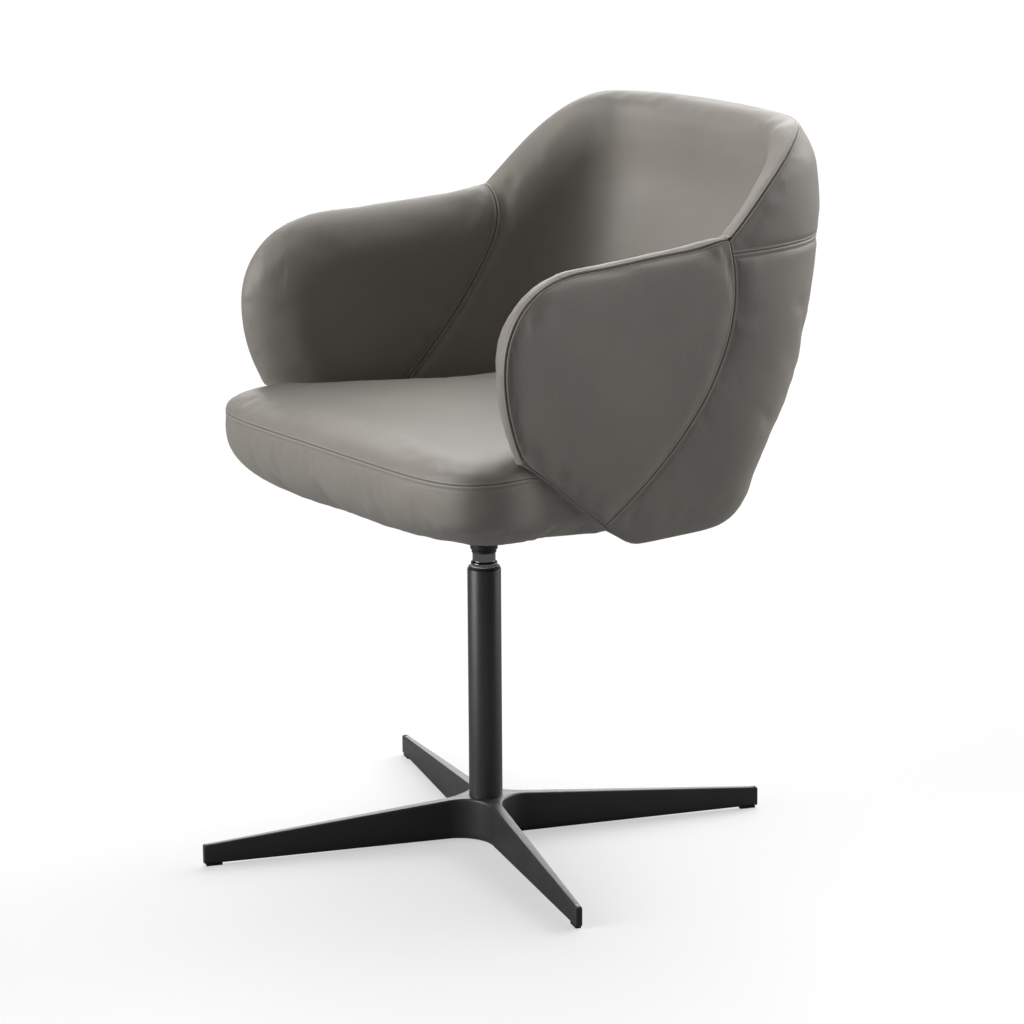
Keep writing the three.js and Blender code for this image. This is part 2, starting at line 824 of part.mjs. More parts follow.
function starBase() {
  const crown = turned([
    [0, glideHeight],
    [legReach + cutOverrun, glideHeight],
    [legReach + cutOverrun, legTipHeight],
    [legReach, legTipHeight],
    [hubRadius, hubHeight],
    [0, hubHeight],
  ], crownSegments);
  const blank = slab(starOutline(), glideHeight - cutOverrun, hubHeight + cutOverrun).intersect(crown);
  const socket = disc(columnDiameter / 2 + fitGap, socketFloorHeight, hubHeight + cutOverrun);
  const boltHole = disc(columnBoltDiameter / 2 + fitGap, 0, hubHeight);
  const capRecess = disc(hubCapDiameter / 2 + fitGap, 0, capSeatHeight);
  const headRecess = disc(boltWasherDiameter / 2 + touchGap, 0, washerSeatHeight);
  return blank.subtract(socket).subtract(boltHole).subtract(capRecess).subtract(headRecess);
}

function disc(radius, low, high, segments = roundSegments) {
  return turned([[0, low], [radius, low], [radius, high], [0, high]], segments);
}

function ring(inner, outer, low, high, segments = roundSegments) {
  return turned([[inner, low], [outer, low], [outer, high], [inner, high]], segments);
}

function glide(index) {
  const at = legCorners(index);
  const outer = legReach - glideSetback;
  const inner = outer - glideLength;
  const half = glideWidth / 2;
  const outline = [at(inner, -half), at(outer, -half), at(outer, half), at(inner, half)];
  return slab(outline, 0, glideHeight - touchGap);
}

// Column

const tubeBore = columnDiameter / 2 - columnWall;
const columnFootHeight = socketFloorHeight + touchGap;
const washerSeatHeight = glideHeight + hubCapThickness + touchGap + columnBoltHeadHeight + boltWasherThickness
  + touchGap * 2;
const capSeatHeight = glideHeight + hubCapThickness + touchGap;

function columnTube() {
  const outer = columnDiameter / 2;
  return turned([
    [tubeBore, columnFootHeight],
    [outer, columnFootHeight],
    [outer, columnTopHeight - columnRimChamfer],
    [outer - columnRimChamfer, columnTopHeight],
    [tubeBore, columnTopHeight],
  ]);
}

function columnPlug() {
  const bore = columnBoltDiameter / 2 + fitGap;
  return ring(bore, tubeBore - fitGap, columnFootHeight, columnFootHeight + plugHeight);
}

function columnBolt() {
  const top = washerSeatHeight - boltWasherThickness - touchGap * 2;
  const low = top - columnBoltHeadHeight;
  const head = disc(columnBoltHeadDiameter / 2, low, top);
  const shank = disc(columnBoltDiameter / 2, low + boltSocketDepth, columnFootHeight + columnBoltReach);
  const drive = disc(boltSocketDiameter / 2, low - cutOverrun, low + boltSocketDepth, hexSides);
  return head.add(shank).subtract(drive);
}

function boltWasher() {
  const top = washerSeatHeight - touchGap;
  return ring(columnBoltDiameter / 2 + fitGap, boltWasherDiameter / 2, top - boltWasherThickness, top);
}

function hubCap() {
  return disc(hubCapDiameter / 2, glideHeight, glideHeight + hubCapThickness);
}

// Swivel

const spindleRadius = spindleDiameter / 2;
const flangeTop = columnTopHeight + touchGap + bushFlangeThickness;
const shoulderLow = flangeTop + thrustWasherThickness + touchGap * 2;
const shoulderTop = shoulderLow + shoulderHeight;
const plateTopHeight = seatUndersideHeight - undersideCoverThickness - touchGap * 2;
const plateLowHeight = plateTopHeight - seatPlateThickness;
const spindleLow = lowerBushHeight - spindleTail;
const circlipHigh = lowerBushHeight - touchGap;

function upperBush() {
  return turned([
    [spindleRadius + runningGap, columnTopHeight - bushLength],
    [tubeBore - fitGap, columnTopHeight - bushLength],
    [tubeBore - fitGap, columnTopHeight + touchGap],
    [bushFlangeDiameter / 2, columnTopHeight + touchGap],
    [bushFlangeDiameter / 2, flangeTop],
    [spindleRadius + runningGap, flangeTop],
  ]);
}

function lowerBush() {
  return ring(spindleRadius + runningGap, tubeBore - fitGap, lowerBushHeight, lowerBushHeight + bushLength);
}

function thrustWasher() {
  const low = flangeTop + touchGap;
  return ring(spindleRadius + runningGap, thrustWasherDiameter / 2, low, low + thrustWasherThickness);
}

function spindle() {
  const groove = spindleRadius - circlipGrooveDepth;
  return turned([
    [0, spindleLow],
    [spindleRadius, spindleLow],
    [spindleRadius, circlipHigh - circlipThickness - touchGap],
    [groove, circlipHigh - circlipThickness - touchGap],
    [groove, circlipHigh + touchGap / 2],
    [spindleRadius, circlipHigh + touchGap / 2],
    [spindleRadius, shoulderLow],
    [shoulderDiameter / 2, shoulderLow],
    [shoulderDiameter / 2, shoulderTop],
    [journalDiameter / 2, shoulderTop + shoulderTaper],
    [journalDiameter / 2, plateLowHeight - touchGap],
    [0, plateLowHeight - touchGap],
  ]);
}

function spindleCirclip() {
  const high = circlipHigh - touchGap / 2;
  const bore = spindleRadius - circlipGrooveDepth + touchGap;
  const whole = ring(bore, circlipDiameter / 2, high - circlipThickness, high);
  const half = circlipOpening / 2;
  const opening = [[-half, 0], [half, 0], [half, circlipDiameter], [-half, circlipDiameter]];
  return whole.subtract(slab(opening, 0, high + cutOverrun));
}

function collar() {
  const bore = journalDiameter / 2 + touchGap;
  const outer = collarDiameter / 2;
  return turned([
    [bore, collarHeight - collarLipHeight],
    [collarLipDiameter / 2, collarHeight - collarLipHeight],
    [collarLipDiameter / 2, collarHeight],
    [outer - collarChamfer, collarHeight],
    [outer, collarHeight + collarChamfer],
    [outer, plateLowHeight - touchGap],
    [bore, plateLowHeight - touchGap],
  ]);
}

// Seat support

const panLow = seatUndersideHeight + seatPanClearance;
const panTop = panLow + seatPanThickness;
const plateScrewPlaces = [[1, 1], [-1, 1], [-1, -1], [1, -1]].map(([x, y]) => (
  [(x * plateScrewSpacing) / 2, (y * plateScrewSpacing) / 2]
));

function holes(places, radius, low, high) {
  return places.map(([x, y]) => place(disc(radius, low, high, smallSegments), x, y));
}

function without(solid, cuts) {
  return cuts.reduce((rest, cut) => rest.subtract(cut), solid);
}

function seatPlate() {
  const side = seatPlateSide / 2;
  const corner = seatPlateCorner;
  const outline = [
    [-side + corner, -side], [side - corner, -side], [side, -side + corner], [side, side - corner],
    [side - corner, side], [-side + corner, side], [-side, side - corner], [-side, -side + corner],
  ];
  const plate = slab(outline, plateLowHeight, plateTopHeight);
  const bore = plateScrewDiameter / 2 + touchGap;
  return without(plate, holes(plateScrewPlaces, bore, 0, plateTopHeight + cutOverrun));
}

function plateScrew(x, y) {
  const headTop = plateLowHeight - touchGap;
  const radius = plateScrewDiameter / 2;
  const top = panTop - plateScrewReachBelowTop;
  return place(turned([
    [0, headTop - plateScrewHeadHeight],
    [plateScrewHeadDiameter / 2 - plateScrewHeadEase, headTop - plateScrewHeadHeight],
    [plateScrewHeadDiameter / 2, headTop - plateScrewHeadHeight + plateScrewHeadEase],
    [plateScrewHeadDiameter / 2, headTop],
    [radius, headTop],
    [radius, top],
    [0, top],
  ], smallSegments), x, y);
}

function teeNut(x, y) {
  const bore = plateScrewDiameter / 2 + fitGap;
  return place(turned([
    [bore, panLow + touchGap],
    [teeNutBarrelDiameter / 2, panLow + touchGap],
    [teeNutBarrelDiameter / 2, panTop - teeNutFlange],
    [teeNutDiameter / 2, panTop - teeNutFlange],
    [teeNutDiameter / 2, panTop],
    [bore, panTop],
  ], smallSegments), x, y);
}

function seatPan() {
  const [front, back] = [-seatPanFrontReach, seatPanBackReach];
  const outline = roundedRectangle(seatPanHalfWidth, front, back, seatPanCornerRadius);
  const above = panTop + cutOverrun;
  const barrels = holes(plateScrewPlaces, teeNutBarrelDiameter / 2 + fitGap, 0, above);
  const flanges = holes(plateScrewPlaces, teeNutDiameter / 2 + fitGap, panTop - teeNutFlange - fitGap, above);
  const screws = holes(tabScrewPlaces, plateScrewDiameter / 2 + touchGap, 0, above);
  return without(slab(outline, panLow, panTop, cornerSteps), [...barrels, ...flanges, ...screws]);
}

function undersideCover() {
  const top = seatUndersideHeight - touchGap;
  const outline = seatOutlineShape(seatUndersideInset - undersideCoverLap);
  const cover = slab(outline, top - undersideCoverThickness, top);
  const ahead = cover.intersect(band(0, top, -wideReach, undersideCoverBackReach));
  const inside = ahead.subtract(tubBody(-seatToTubGap));
  const screwPlaces = [...plateScrewPlaces, ...tabScrewPlaces];
  return without(inside, holes(screwPlaces, plateScrewHeadDiameter / 2 + touchGap, 0, top + cutOverrun));
}

// Tub frame: one bent hoop through both arms and the back, with a strut down the back's middle

function stationAt(y) {
  return (y + armFrontReach) / armRun;
}

function insideWall(station, z) {
  const p = wallPoint(station, z).addScaledVector(wallNormal(station, z), -tubThickness(station, z) / 2);
  return new THREE.Vector3(p.x, p.y, z);
}

const barRadius = frameTubeDiameter / 2;
const barFootHeight = panTop + touchGap + barRadius;
const tabScrewPlaces = [
  [seatPanHalfWidth - tabInset, frameFootReach],
  [tabInset - seatPanHalfWidth, frameFootReach],
  [0, seatPanBackReach - tabInset],
];

function hoopSide() {
  const footX = seatPanHalfWidth - tabInset + frameTabWidth / 2;
  const foot = new THREE.Vector3(footX, frameFootReach, barFootHeight);
  const kneeX = seatPanHalfWidth + frameKneeRun;
  const outward = new THREE.Vector3(kneeX, frameFootReach, barFootHeight + touchGap);
  const rise = [
    [stationAt(frameFootReach), barFootHeight + frameKneeRise],
    [stationAt(frameFootReach - frameLean), mix(armHeelHeight, armTopHeight, frameMiddleShare)],
    [stationAt(frameFootReach - frameLean), armTopHeight - frameArmDepth],
    [stationAt(frameFootReach), armTopHeight - frameArmDepth + barRadius / 2],
    [1, armTopHeight - frameArmDepth + barRadius / 2],
    ...frameBendShares.map((station) => [station, armTopHeight - frameArmDepth + barRadius]),
  ];
  return [foot, outward, ...rise.map(([station, z]) => insideWall(station, z))];
}

function strutPath() {
  const top = insideWall(2, armTopHeight - frameArmDepth + barRadius);
  const middle = insideWall(2, mix(armHeelHeight, armTopHeight, frameMiddleShare));
  const low = insideWall(2, barFootHeight + frameKneeRise);
  const knee = new THREE.Vector3(0, seatPanBackReach + frameKneeRun, barFootHeight + touchGap);
  const foot = new THREE.Vector3(0, seatPanBackReach - tabInset + frameTabWidth / 2, barFootHeight);
  return [top, middle, low, knee, foot];
}

function frameBars(extra) {
  const side = hoopSide();
  const back = insideWall(2, armTopHeight - frameArmDepth + barRadius);
  const hoop = [...side, back, ...side.map(mirrored).reverse()];
  const diameter = frameTubeDiameter + 2 * extra;
  return bentBar(hoop, diameter, hoopSteps).add(bentBar(strutPath(), diameter, strutSteps));
}

function frameTab([x, y], extra) {
  const [halfX, halfY] = x === 0
    ? [frameTabWidth / 2 + extra, frameTabLength / 2 + extra]
    : [frameTabLength / 2 + extra, frameTabWidth / 2 + extra];
  const low = panTop + touchGap;
  const corners = [[-halfX, -halfY], [halfX, -halfY], [halfX, halfY], [-halfX, halfY]];
  const outline = corners.map(([across, along]) => [x + across, y + along]);
  return slab(outline, low - extra, low + frameTabThickness + extra);
}

function shellFrame() {
  const bars = frameBars(0);
  const tabs = tabScrewPlaces.map((spot) => frameTab(spot, 0));
  const joined = tabs.reduce((sum, tab) => sum.add(tab), bars);
  const tabTop = panTop + touchGap + frameTabThickness;
  const threads = holes(tabScrewPlaces, plateScrewDiameter / 2 + fitGap, 0, tabTop + cutOverrun);
  return without(joined, [band(0, panTop + touchGap), ...threads]);
}

function frameRoom() {
  const tabs = tabScrewPlaces.map((spot) => frameTab(spot, frameClearance));
  return tabs.reduce((sum, tab) => sum.add(tab), frameBars(frameClearance));
}

function frameScrew([x, y]) {
  const headTop = panLow - touchGap;
  const top = panTop + touchGap + frameTabThickness;
  const radius = plateScrewDiameter / 2;
  return place(turned([
    [0, headTop - plateScrewHeadHeight],
    [plateScrewHeadDiameter / 2, headTop - plateScrewHeadHeight],
    [plateScrewHeadDiameter / 2, headTop],
    [radius, headTop],
    [radius, top],
    [0, top],
  ], smallSegments), x, y);
}

// Finishes, seen in the photograph or usual for the hidden pieces

function finish(colour, roughness, metalness = 0) {
  return new THREE.MeshStandardMaterial({ color: new THREE.Color(colour), roughness, metalness });
}

const finishes = {
  leather: () => finish('#86807a', 0.5),
  foam: () => finish('#d9d2b8', 0.95),
  blackCoat: () => finish('#1b1b1d', 0.45, 0.3),
  column: () => finish('#242426', 0.42, 0.35),
  chrome: () => finish('#6f7072', 0.15, 1),
  zinc: () => finish('#a9abae', 0.35, 0.9),
  nylon: () => finish('#141414', 0.55),
  acetal: () => finish('#e4e1d8', 0.45),
  plywood: () => finish('#c19a66', 0.7),
  cloth: () => finish('#222224', 0.9),
};

const chair = new THREE.Group();
const base = new THREE.Group();
const seat = new THREE.Group();
chair.add(base, seat);

function addPiece(group, name, solid, kind) {
  const mesh = new THREE.Mesh(toGeometry(solid), finishes[kind]());
  mesh.name = name;
  group.add(mesh);
}

// Base: everything that stands still

addPiece(base, 'star_base', starBase(), 'blackCoat');
for (let index = 0; index < legCount; index += 1) {
  addPiece(base, `glide_${index + 1}`, glide(index), 'nylon');
}
addPiece(base, 'column_tube', columnTube(), 'column');
addPiece(base, 'column_plug', columnPlug(), 'zinc');
addPiece(base, 'column_bolt', columnBolt(), 'zinc');
addPiece(base, 'bolt_washer', boltWasher(), 'zinc');
addPiece(base, 'hub_cap', hubCap(), 'nylon');
addPiece(base, 'lower_bush', lowerBush(), 'nylon');
addPiece(base, 'upper_bush', upperBush(), 'nylon');
addPiece(base, 'thrust_washer', thrustWasher(), 'acetal');

// Seat: everything that turns

addPiece(seat, 'spindle', spindle(), 'chrome');
addPiece(seat, 'spindle_circlip', spindleCirclip(), 'zinc');
addPiece(seat, 'collar', collar(), 'nylon');
addPiece(seat, 'seat_plate', seatPlate(), 'blackCoat');
plateScrewPlaces.forEach(([x, y], index) => {
  addPiece(seat, `plate_screw_${index + 1}`, plateScrew(x, y), 'zinc');
  addPiece(seat, `tee_nut_${index + 1}`, teeNut(x, y), 'zinc');
});
addPiece(seat, 'seat_pan', seatPan(), 'plywood');
addPiece(seat, 'underside_cover', undersideCover(), 'cloth');
addPiece(seat, 'shell_frame', shellFrame(), 'blackCoat');
tabScrewPlaces.forEach((spot, index) => {
  addPiece(seat, `frame_screw_${index + 1}`, frameScrew(spot), 'zinc');
});

const tubRoom = tubBody(-seatToTubGap);
const frameSpace = frameRoom();
const panRoom = slab(
  roundedRectangle(
    seatPanHalfWidth + panSideClearance,
    -seatPanFrontReach - panSideClearance,
    seatPanBackReach + panSideClearance,
    seatPanCornerRadius,
  ),
  seatUndersideHeight - cutOverrun,
  panTop + touchGap,
  cornerSteps,
);

const seatFoam = seatBlank(foamInset).subtract(tubRoom).subtract(panRoom).subtract(frameSpace);
addPiece(seat, 'seat_foam', seatFoam, 'foam');

const seatShell = seatSkin().subtract(tubRoom);
const seatTop = seatShell.intersect(band(seatSeamHeight + seamGap / 2, tubTopHeight));
addPiece(seat, 'seat_top_cover', seatTop, 'leather');
const mouthOutline = seatOutlineShape(seatUndersideInset - seatMouthLap);
const seatMouth = slab(mouthOutline, 0, seatUndersideHeight + seatMouthDepth);
const seatBorder = seatShell
  .intersect(band(0, seatSeamHeight - seamGap / 2, -wideReach, borderRearReach))
  .subtract(seatMouth);
addPiece(seat, 'seat_border_cover', seatBorder, 'leather');

const tubOutside = outerSkin(leatherThickness, 0);
const tubInside = innerSkin(leatherThickness, 0);
const skinRoom = [outerSkin, innerSkin].map((cover) => cover(leatherThickness + touchGap, touchGap));
const tubFoam = largest(without(tubBody(foamInset), [...skinRoom, tubOutside, tubInside, frameSpace]));
addPiece(seat, 'shell_foam', tubFoam, 'foam');

const armsOutside = tubOutside.intersect(blockAhead(outerSeam, -seamGap / 2));
const backOutside = tubOutside.subtract(blockAhead(outerSeam, seamGap / 2));
const armsInside = tubInside.intersect(blockAhead(innerSeam, -seamGap / 2));
const backInside = tubInside.subtract(blockAhead(innerSeam, seamGap / 2));
addPiece(seat, 'left_arm_outer_cover', armsOutside.intersect(sideHalf(1)), 'leather');
addPiece(seat, 'right_arm_outer_cover', armsOutside.intersect(sideHalf(-1)), 'leather');
addPiece(seat, 'left_arm_inner_cover', armsInside.intersect(sideHalf(1)), 'leather');
addPiece(seat, 'right_arm_inner_cover', armsInside.intersect(sideHalf(-1)), 'leather');
addPiece(seat, 'back_inner_cover', backInside.subtract(frameSpace), 'leather');
const seamLow = backSeamHeight - seamGap / 2;
const seamHigh = backSeamHeight + seamGap / 2;
const backUpper = backOutside.intersect(band(seamHigh, tubTopHeight + cutOverrun));
addPiece(seat, 'back_outer_upper_cover', backUpper, 'leather');
addPiece(seat, 'back_outer_lower_cover', backOutside.intersect(band(0, seamLow)), 'leather');

export default chair;
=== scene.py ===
"""Pedestal swivel armchair: covers, seams, stitches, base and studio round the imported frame.

Metres, +Z up. The column's axis is x = y = 0, the sitter faces -Y and the floor is z = 0.
Shape tables of the tub and the seat are in millimetres, as an upholsterer would write them.
"""

import json
import math
import bpy
import bmesh
import numpy as np
from bpy.props import FloatProperty, FloatVectorProperty, IntProperty, PointerProperty
from mathutils import Matrix, Vector
from mathutils.bvhtree import BVHTree
from mathutils.kdtree import KDTree

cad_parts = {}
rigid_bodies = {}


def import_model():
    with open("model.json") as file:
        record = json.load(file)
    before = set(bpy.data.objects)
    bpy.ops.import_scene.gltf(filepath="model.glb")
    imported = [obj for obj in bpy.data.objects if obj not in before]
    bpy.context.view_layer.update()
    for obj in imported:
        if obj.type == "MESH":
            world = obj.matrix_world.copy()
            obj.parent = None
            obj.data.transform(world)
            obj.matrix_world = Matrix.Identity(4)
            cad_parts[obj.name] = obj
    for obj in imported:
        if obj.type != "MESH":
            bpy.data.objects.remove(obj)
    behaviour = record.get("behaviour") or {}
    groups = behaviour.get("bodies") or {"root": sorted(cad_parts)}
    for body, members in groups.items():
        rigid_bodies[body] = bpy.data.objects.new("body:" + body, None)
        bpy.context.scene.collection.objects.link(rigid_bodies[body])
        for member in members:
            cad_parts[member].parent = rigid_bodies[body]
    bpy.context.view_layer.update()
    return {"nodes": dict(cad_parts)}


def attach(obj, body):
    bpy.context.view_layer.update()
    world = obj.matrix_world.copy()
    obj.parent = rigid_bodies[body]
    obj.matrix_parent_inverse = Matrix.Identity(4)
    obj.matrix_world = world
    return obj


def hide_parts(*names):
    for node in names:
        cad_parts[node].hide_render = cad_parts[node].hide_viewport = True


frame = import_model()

bl_info = {
    "name": "Pedestal swivel armchair",
    "version": (1, 0, 0),
    "blender": (4, 5, 0),
    "location": "View3D > Sidebar > Armchair",
    "description": "Builds the covers, seams, base and studio of a pedestal swivel armchair",
    "category": "Object",
}

MM = 0.001

# Tub, millimetres: heights above the floor, reaches from the column's axis
TUB_FLOOR = 373
TUB_RISE = 439
TUB_HALF_WIDTH = 239
TUB_DEPTH = 358
BEND_CENTRE = 100
ARM_FRONT = 152
ARM_NOSE_HEIGHT = 593
ARM_TOP_HEIGHT = 694
ARM_REAR_RISE = 5
ARM_CORNER_LENGTH = 120
ARM_FOOT_REACH = 126
ARM_FOOT_HEIGHT = 499
ARM_HEEL_HEIGHT = 405
ARM_HEEL_RUN = 92
JUNCTION_HEIGHT = 704
JUNCTION_REACH = 162
SHOULDER_RISE = 102
CROWN_RISE = 6
SPLAY_START = 170
SPLAY_BLEND = 60
SPLAY_SHARE = 0.085
ARM_THICKNESS = 46
BACK_THICKNESS = 54
ROLL_DROP = 58
FLOOR_LIFT = 32
FOOT_THICKENING = 17
FOOT_RISE = 25
PLAN_SQUARENESS = 3.6
WING_CURVE = 1.15
RIM_CORNER = 2.2
QUARTER_SHARE = 0.86
JUNCTION_TURN = 15 / 90
SHOULDER_TURN = 51 / 90
BACK_SEAM_HEIGHT = 686
REAR_SAG = 6
REAR_SAG_START = 15
REAR_SAG_RUN = 60
REAR_SAG_TOP = 430
REAR_SAG_RISE = 45
# Each row: share of the tub's height, of its half width, and of its depth
WALL_ROWS = np.array([
    (0, 0.69, 0.565),
    (0.007, 0.765, 0.61),
    (0.023, 0.85, 0.658),
    (0.068, 0.914, 0.707),
    (0.128, 0.944, 0.742),
    (0.21, 0.974, 0.798),
    (0.298, 0.991, 0.863),
    (0.4, 1, 0.916),
    (0.497, 1, 0.95),
    (0.58, 0.996, 0.975),
    (0.7, 0.984, 1.002),
    (0.79, 0.976, 1.014),
    (0.888, 0.962, 1.004),
    (1, 0.926, 0.944),
])
# Seams in the side view, as handles of one curve each: (y, height)
OUTER_SEAM = ((162, 704), (190, 605), (132, 510), (-4, 407.98))
INNER_SEAM = ((162, 704), (162, 640), (110, 560), (0, 462))
INNER_SEAM_FOOT = (-24.6, 423.4)

# Seat cushion, millimetres
SEAT_SEAM = 481
SEAT_UNDERSIDE = 386
SEAT_FRONT = 212
SEAT_HALF_WIDTH = 254
SEAT_SETBACK = 60
SEAT_WAIST = 205
SEAT_WAIST_START = 120
SEAT_WAIST_END = 115
SEAT_WAIST_REACH = 60
SEAT_REAR = 262
SEAT_CROWN = 27
SEAT_SHOULDER = 60
SEAT_UNDER_INSET = 125
SEAT_FRONT_SQUARENESS = 6.3
SEAT_REAR_SQUARENESS = 3.6
SEAT_ROUND = 2.4
SEAT_SHOULDER_SHARE = 0.85
SEAT_REAR_INSET = 0.36
SEAT_SIDE_POWER = 3.2
CORNER_PLACE = (225, -190)
CORNER_SPREAD = 62
CORNER_LIFT = 13
HEM_DROP = 1.6
SEAT_HEM_POWER = 1.9
# Shares of the border's height over which the hem drops, and over which the corner lifts and ends
HEM_START, HEM_RUN = 0.75, 0.2
LIFT_START, LIFT_RUN, LIFT_END = 0.45, 0.4, 0.08

# Distances from a seam at which the rows of a cover lie, millimetres
SEAM_ROWS = (
    0, 0.35, 0.7, 1.05, 1.4, 1.8, 2.2, 2.7, 3.3, 3.9, 4.4, 4.9, 5.5, 6.3, 7.4, 9, 11.5, 15, 19,
)
COVER_STEP = 5.5
BAND_STEP = 4.0

# Lengths over which rows are spread, millimetres, and how many points some lines have
ARM_SPAN = 200
BACK_SPAN = 300
UPPER_SPAN = 110
BORDER_SPAN = 110
BAND_SPAN = 50
CORNER_POINTS = 160
RIM_POINTS = 340
NOSE_ROWS = 50
LOWER_COUNT = 260
SEAT_COUNT = 420
PAD_COUNT = 180

# Relief of a seam, millimetres: where hem, stitches and swelling lie, and how wide they are
SEAM_REACH = 60.0
GROOVE_WIDTH = 0.62
RIDGE_PLACE = 2.0
RIDGE_WIDTH = 1.0
STITCH_PLACE = 5.2
STITCH_WIDTH = 0.75
PULL_WIDTH = 9.0
SWELL_PLACE = 15.0
SOFT_FREE = 25
PAD_FREE = 8

# Unevenness of padded leather, millimetres: height and width of its wide and of its small hills
WIDE_HILLS = (0.9, 70.0)
SMALL_HILLS = (0.28, 26.0)
HILL_SHIFT = 300
LATTICE_CELLS = 32
LATTICE_START = 7.3
LATTICE_SEED = 11

# How deep and high the parts of each seam are, millimetres
EDGE_STYLE = {"groove": 1.6, "ridge": 1.0, "pull": 1.0}
UNDER_STYLE = {"groove": 0.3, "ridge": 0.5, "pull": 0.4}
EDGE_SWELL = 3.0
SIDE_SEAM = {"groove": 0.7, "ridge": 0.25, "pull": 0.8}
INSIDE_SEAM = {"groove": 0.7, "ridge": 1.0, "pull": 0.8, "stitch": 0.3}
LEVEL_BELOW = {"groove": 0.4, "ridge": 0.4, "pull": 0.6, "stitch": 0.5}
LEVEL_ABOVE = {"groove": 0.4, "ridge": 0.7, "pull": 0.6}
SEAT_TOP_SEAM = {"groove": 0.7, "ridge": 0.5, "pull": 0.5}
SEAT_BORDER_SEAM = {"groove": 0.7, "ridge": 0.5, "pull": 0.5, "stitch": 0.55}

# Radii of the tub's edges, and over which lengths they change, millimetres
RIM_ROUND = 4.5
ARM_TOP_ROUND = 15.0
ARM_TOP_START = 30
ARM_TOP_RISE = 70
ARM_TOP_MARGIN = 5
ARM_TOP_FALL = 40
FOOT_ROUND = 7.0
UNDER_BLEND = 50
FOOT_BLEND = 14

# Where the seat gives way to the tub that stands beside it and on it, millimetres
ARM_PROUD = 12
TUCK_START = 146
TUCK_RUN = 76
CONTACT_HEIGHT = 505.0
DENT_START = -122
DENT_RUN = 60
DENT_HEIGHT = 40
DENT_WIDTH = 11.0
DENT_DEPTH = 8.0
REAR_DENT_START = -100
REAR_DENT_RUN = 200
REAR_DENT_WIDTH = 46.0
REAR_DENT_DEPTH = 18.0

# Padding, metres: its cells, how far it lies inside its solid and how far it may swell, then how
# far a cover looks for it and the blur with which it follows the padding's nearest points
PAD_CELL = 0.006
PAD_INSET = 0.003
PAD_MOST = 0.0018
PAD_SEARCH = 0.03
FOLLOW_BLUR = 0.0015
FOLLOW_POINTS = 5
# Padding, millimetres: what is pinned beside its seams and below, and its gap under a cover
PIN_REACH = 7.0
SEAT_HELD = SEAT_UNDERSIDE + 8
TUB_HELD = TUB_FLOOR + 30
COVER_GAP = 2.2
SIM_FRAMES = 20
CLOTH = {
    "quality": 5, "mass": 0.25, "bending_stiffness": 0.35, "shrink_min": -0.012,
    "tension_stiffness": 12, "compression_stiffness": 12, "shear_stiffness": 4,
    "use_pressure": True, "uniform_pressure_force": 4, "vertex_group_mass": "pinned",
}

# Stitches: distance from the seam and step of a row in millimetres, and the share it may be off
STITCH_OFFSET = 5.0
STITCH_STEP = 1.5
STITCH_SLACK = 0.35

# Star base, millimetres
LEG_TURN = math.radians(72.7)
LEG_TIP_HEIGHT = 24.7
LEG_TIP_WIDTH = 7.5
LEG_ROOT_WIDTH = 13.4
LEG_FILLET = 40
LEG_POINTS = 40
TIP_ROUND = 1.2
HEIGHT_SHARES = np.linspace(0.15, 0.92, 8)
# Steps of the casting's lower edge: how far in and how high
LOWER_EDGE = ((1.0, 0.0), (0.3, 0.3), (0.0, 1.0))
HUB_HEIGHT = 50
HUB_RADIUS = 26
HUB_POINTS = 17
GLIDE_HEIGHT = 3
EDGE_ROUND = 2.4

# Bevel of the turned pieces: width in metres, and the angle in degrees from which an edge has one
BEVEL_WIDTH = 0.0004
BEVEL_ANGLE = 25
# Turned pieces: closed profiles of (radius, height), millimetres. The tube's give the distance
# inside its outer face instead of the radius.
TUBE_PROFILE = ((2, 22.3), (0, 22.3), (0, 314.8), (0.35, 315.65), (1.2, 316), (2, 316))
BUSH_PROFILE = (
    (12.58, 286), (16.9, 286), (16.9, 316.3), (17.5, 316.3), (17.5, 317.9), (12.58, 317.9),
)
WASHER_PROFILE = ((12.58, 318.2), (15.5, 318.2), (15.5, 319.2), (12.58, 319.2))
SPINDLE_PROFILE = (
    (0, 138), (12.5, 138), (12.5, 148.2), (11.5, 148.2), (11.5, 149.85), (12.5, 149.85),
    (12.5, 319.5), (15, 319.5), (15, 322.5), (13, 324.5), (13, 378.9), (0, 378.9),
)
COLLAR_PROFILE = (
    (13.3, 334), (14, 334), (14, 337), (14, 337), (14.2, 337.1), (15.5, 338.5), (15.5, 378.9),
    (13.3, 378.9),
)

# By slot: name, colour, worn colour, lowest and highest roughness, metallic, strength of bumps
COATS = {
    "black_coat":
        ("Black powder coat", (0.19, 0.19, 0.193), (0.24, 0.24, 0.243), 0.34, 0.5, 0.0, 0.12),
    "column_coat":
        ("Charcoal column coat", (0.205, 0.205, 0.208), (0.24, 0.24, 0.243), 0.3, 0.42, 0.15, 0.12),
    "dark_chrome":
        ("Dark chrome", (0.5, 0.5, 0.51), (0.6, 0.6, 0.6), 0.08, 0.16, 1.0, 0.02),
    "zinc_steel":
        ("Zinc steel", (0.66, 0.67, 0.68), (0.78, 0.78, 0.76), 0.28, 0.45, 1.0, 0.12),
    "black_nylon":
        ("Black nylon", (0.07, 0.07, 0.07), (0.1, 0.1, 0.1), 0.42, 0.56, 0.0, 0.2),
    "white_acetal":
        ("White acetal", (0.86, 0.85, 0.82), (0.8, 0.79, 0.76), 0.4, 0.5, 0.0, 0.1),
}

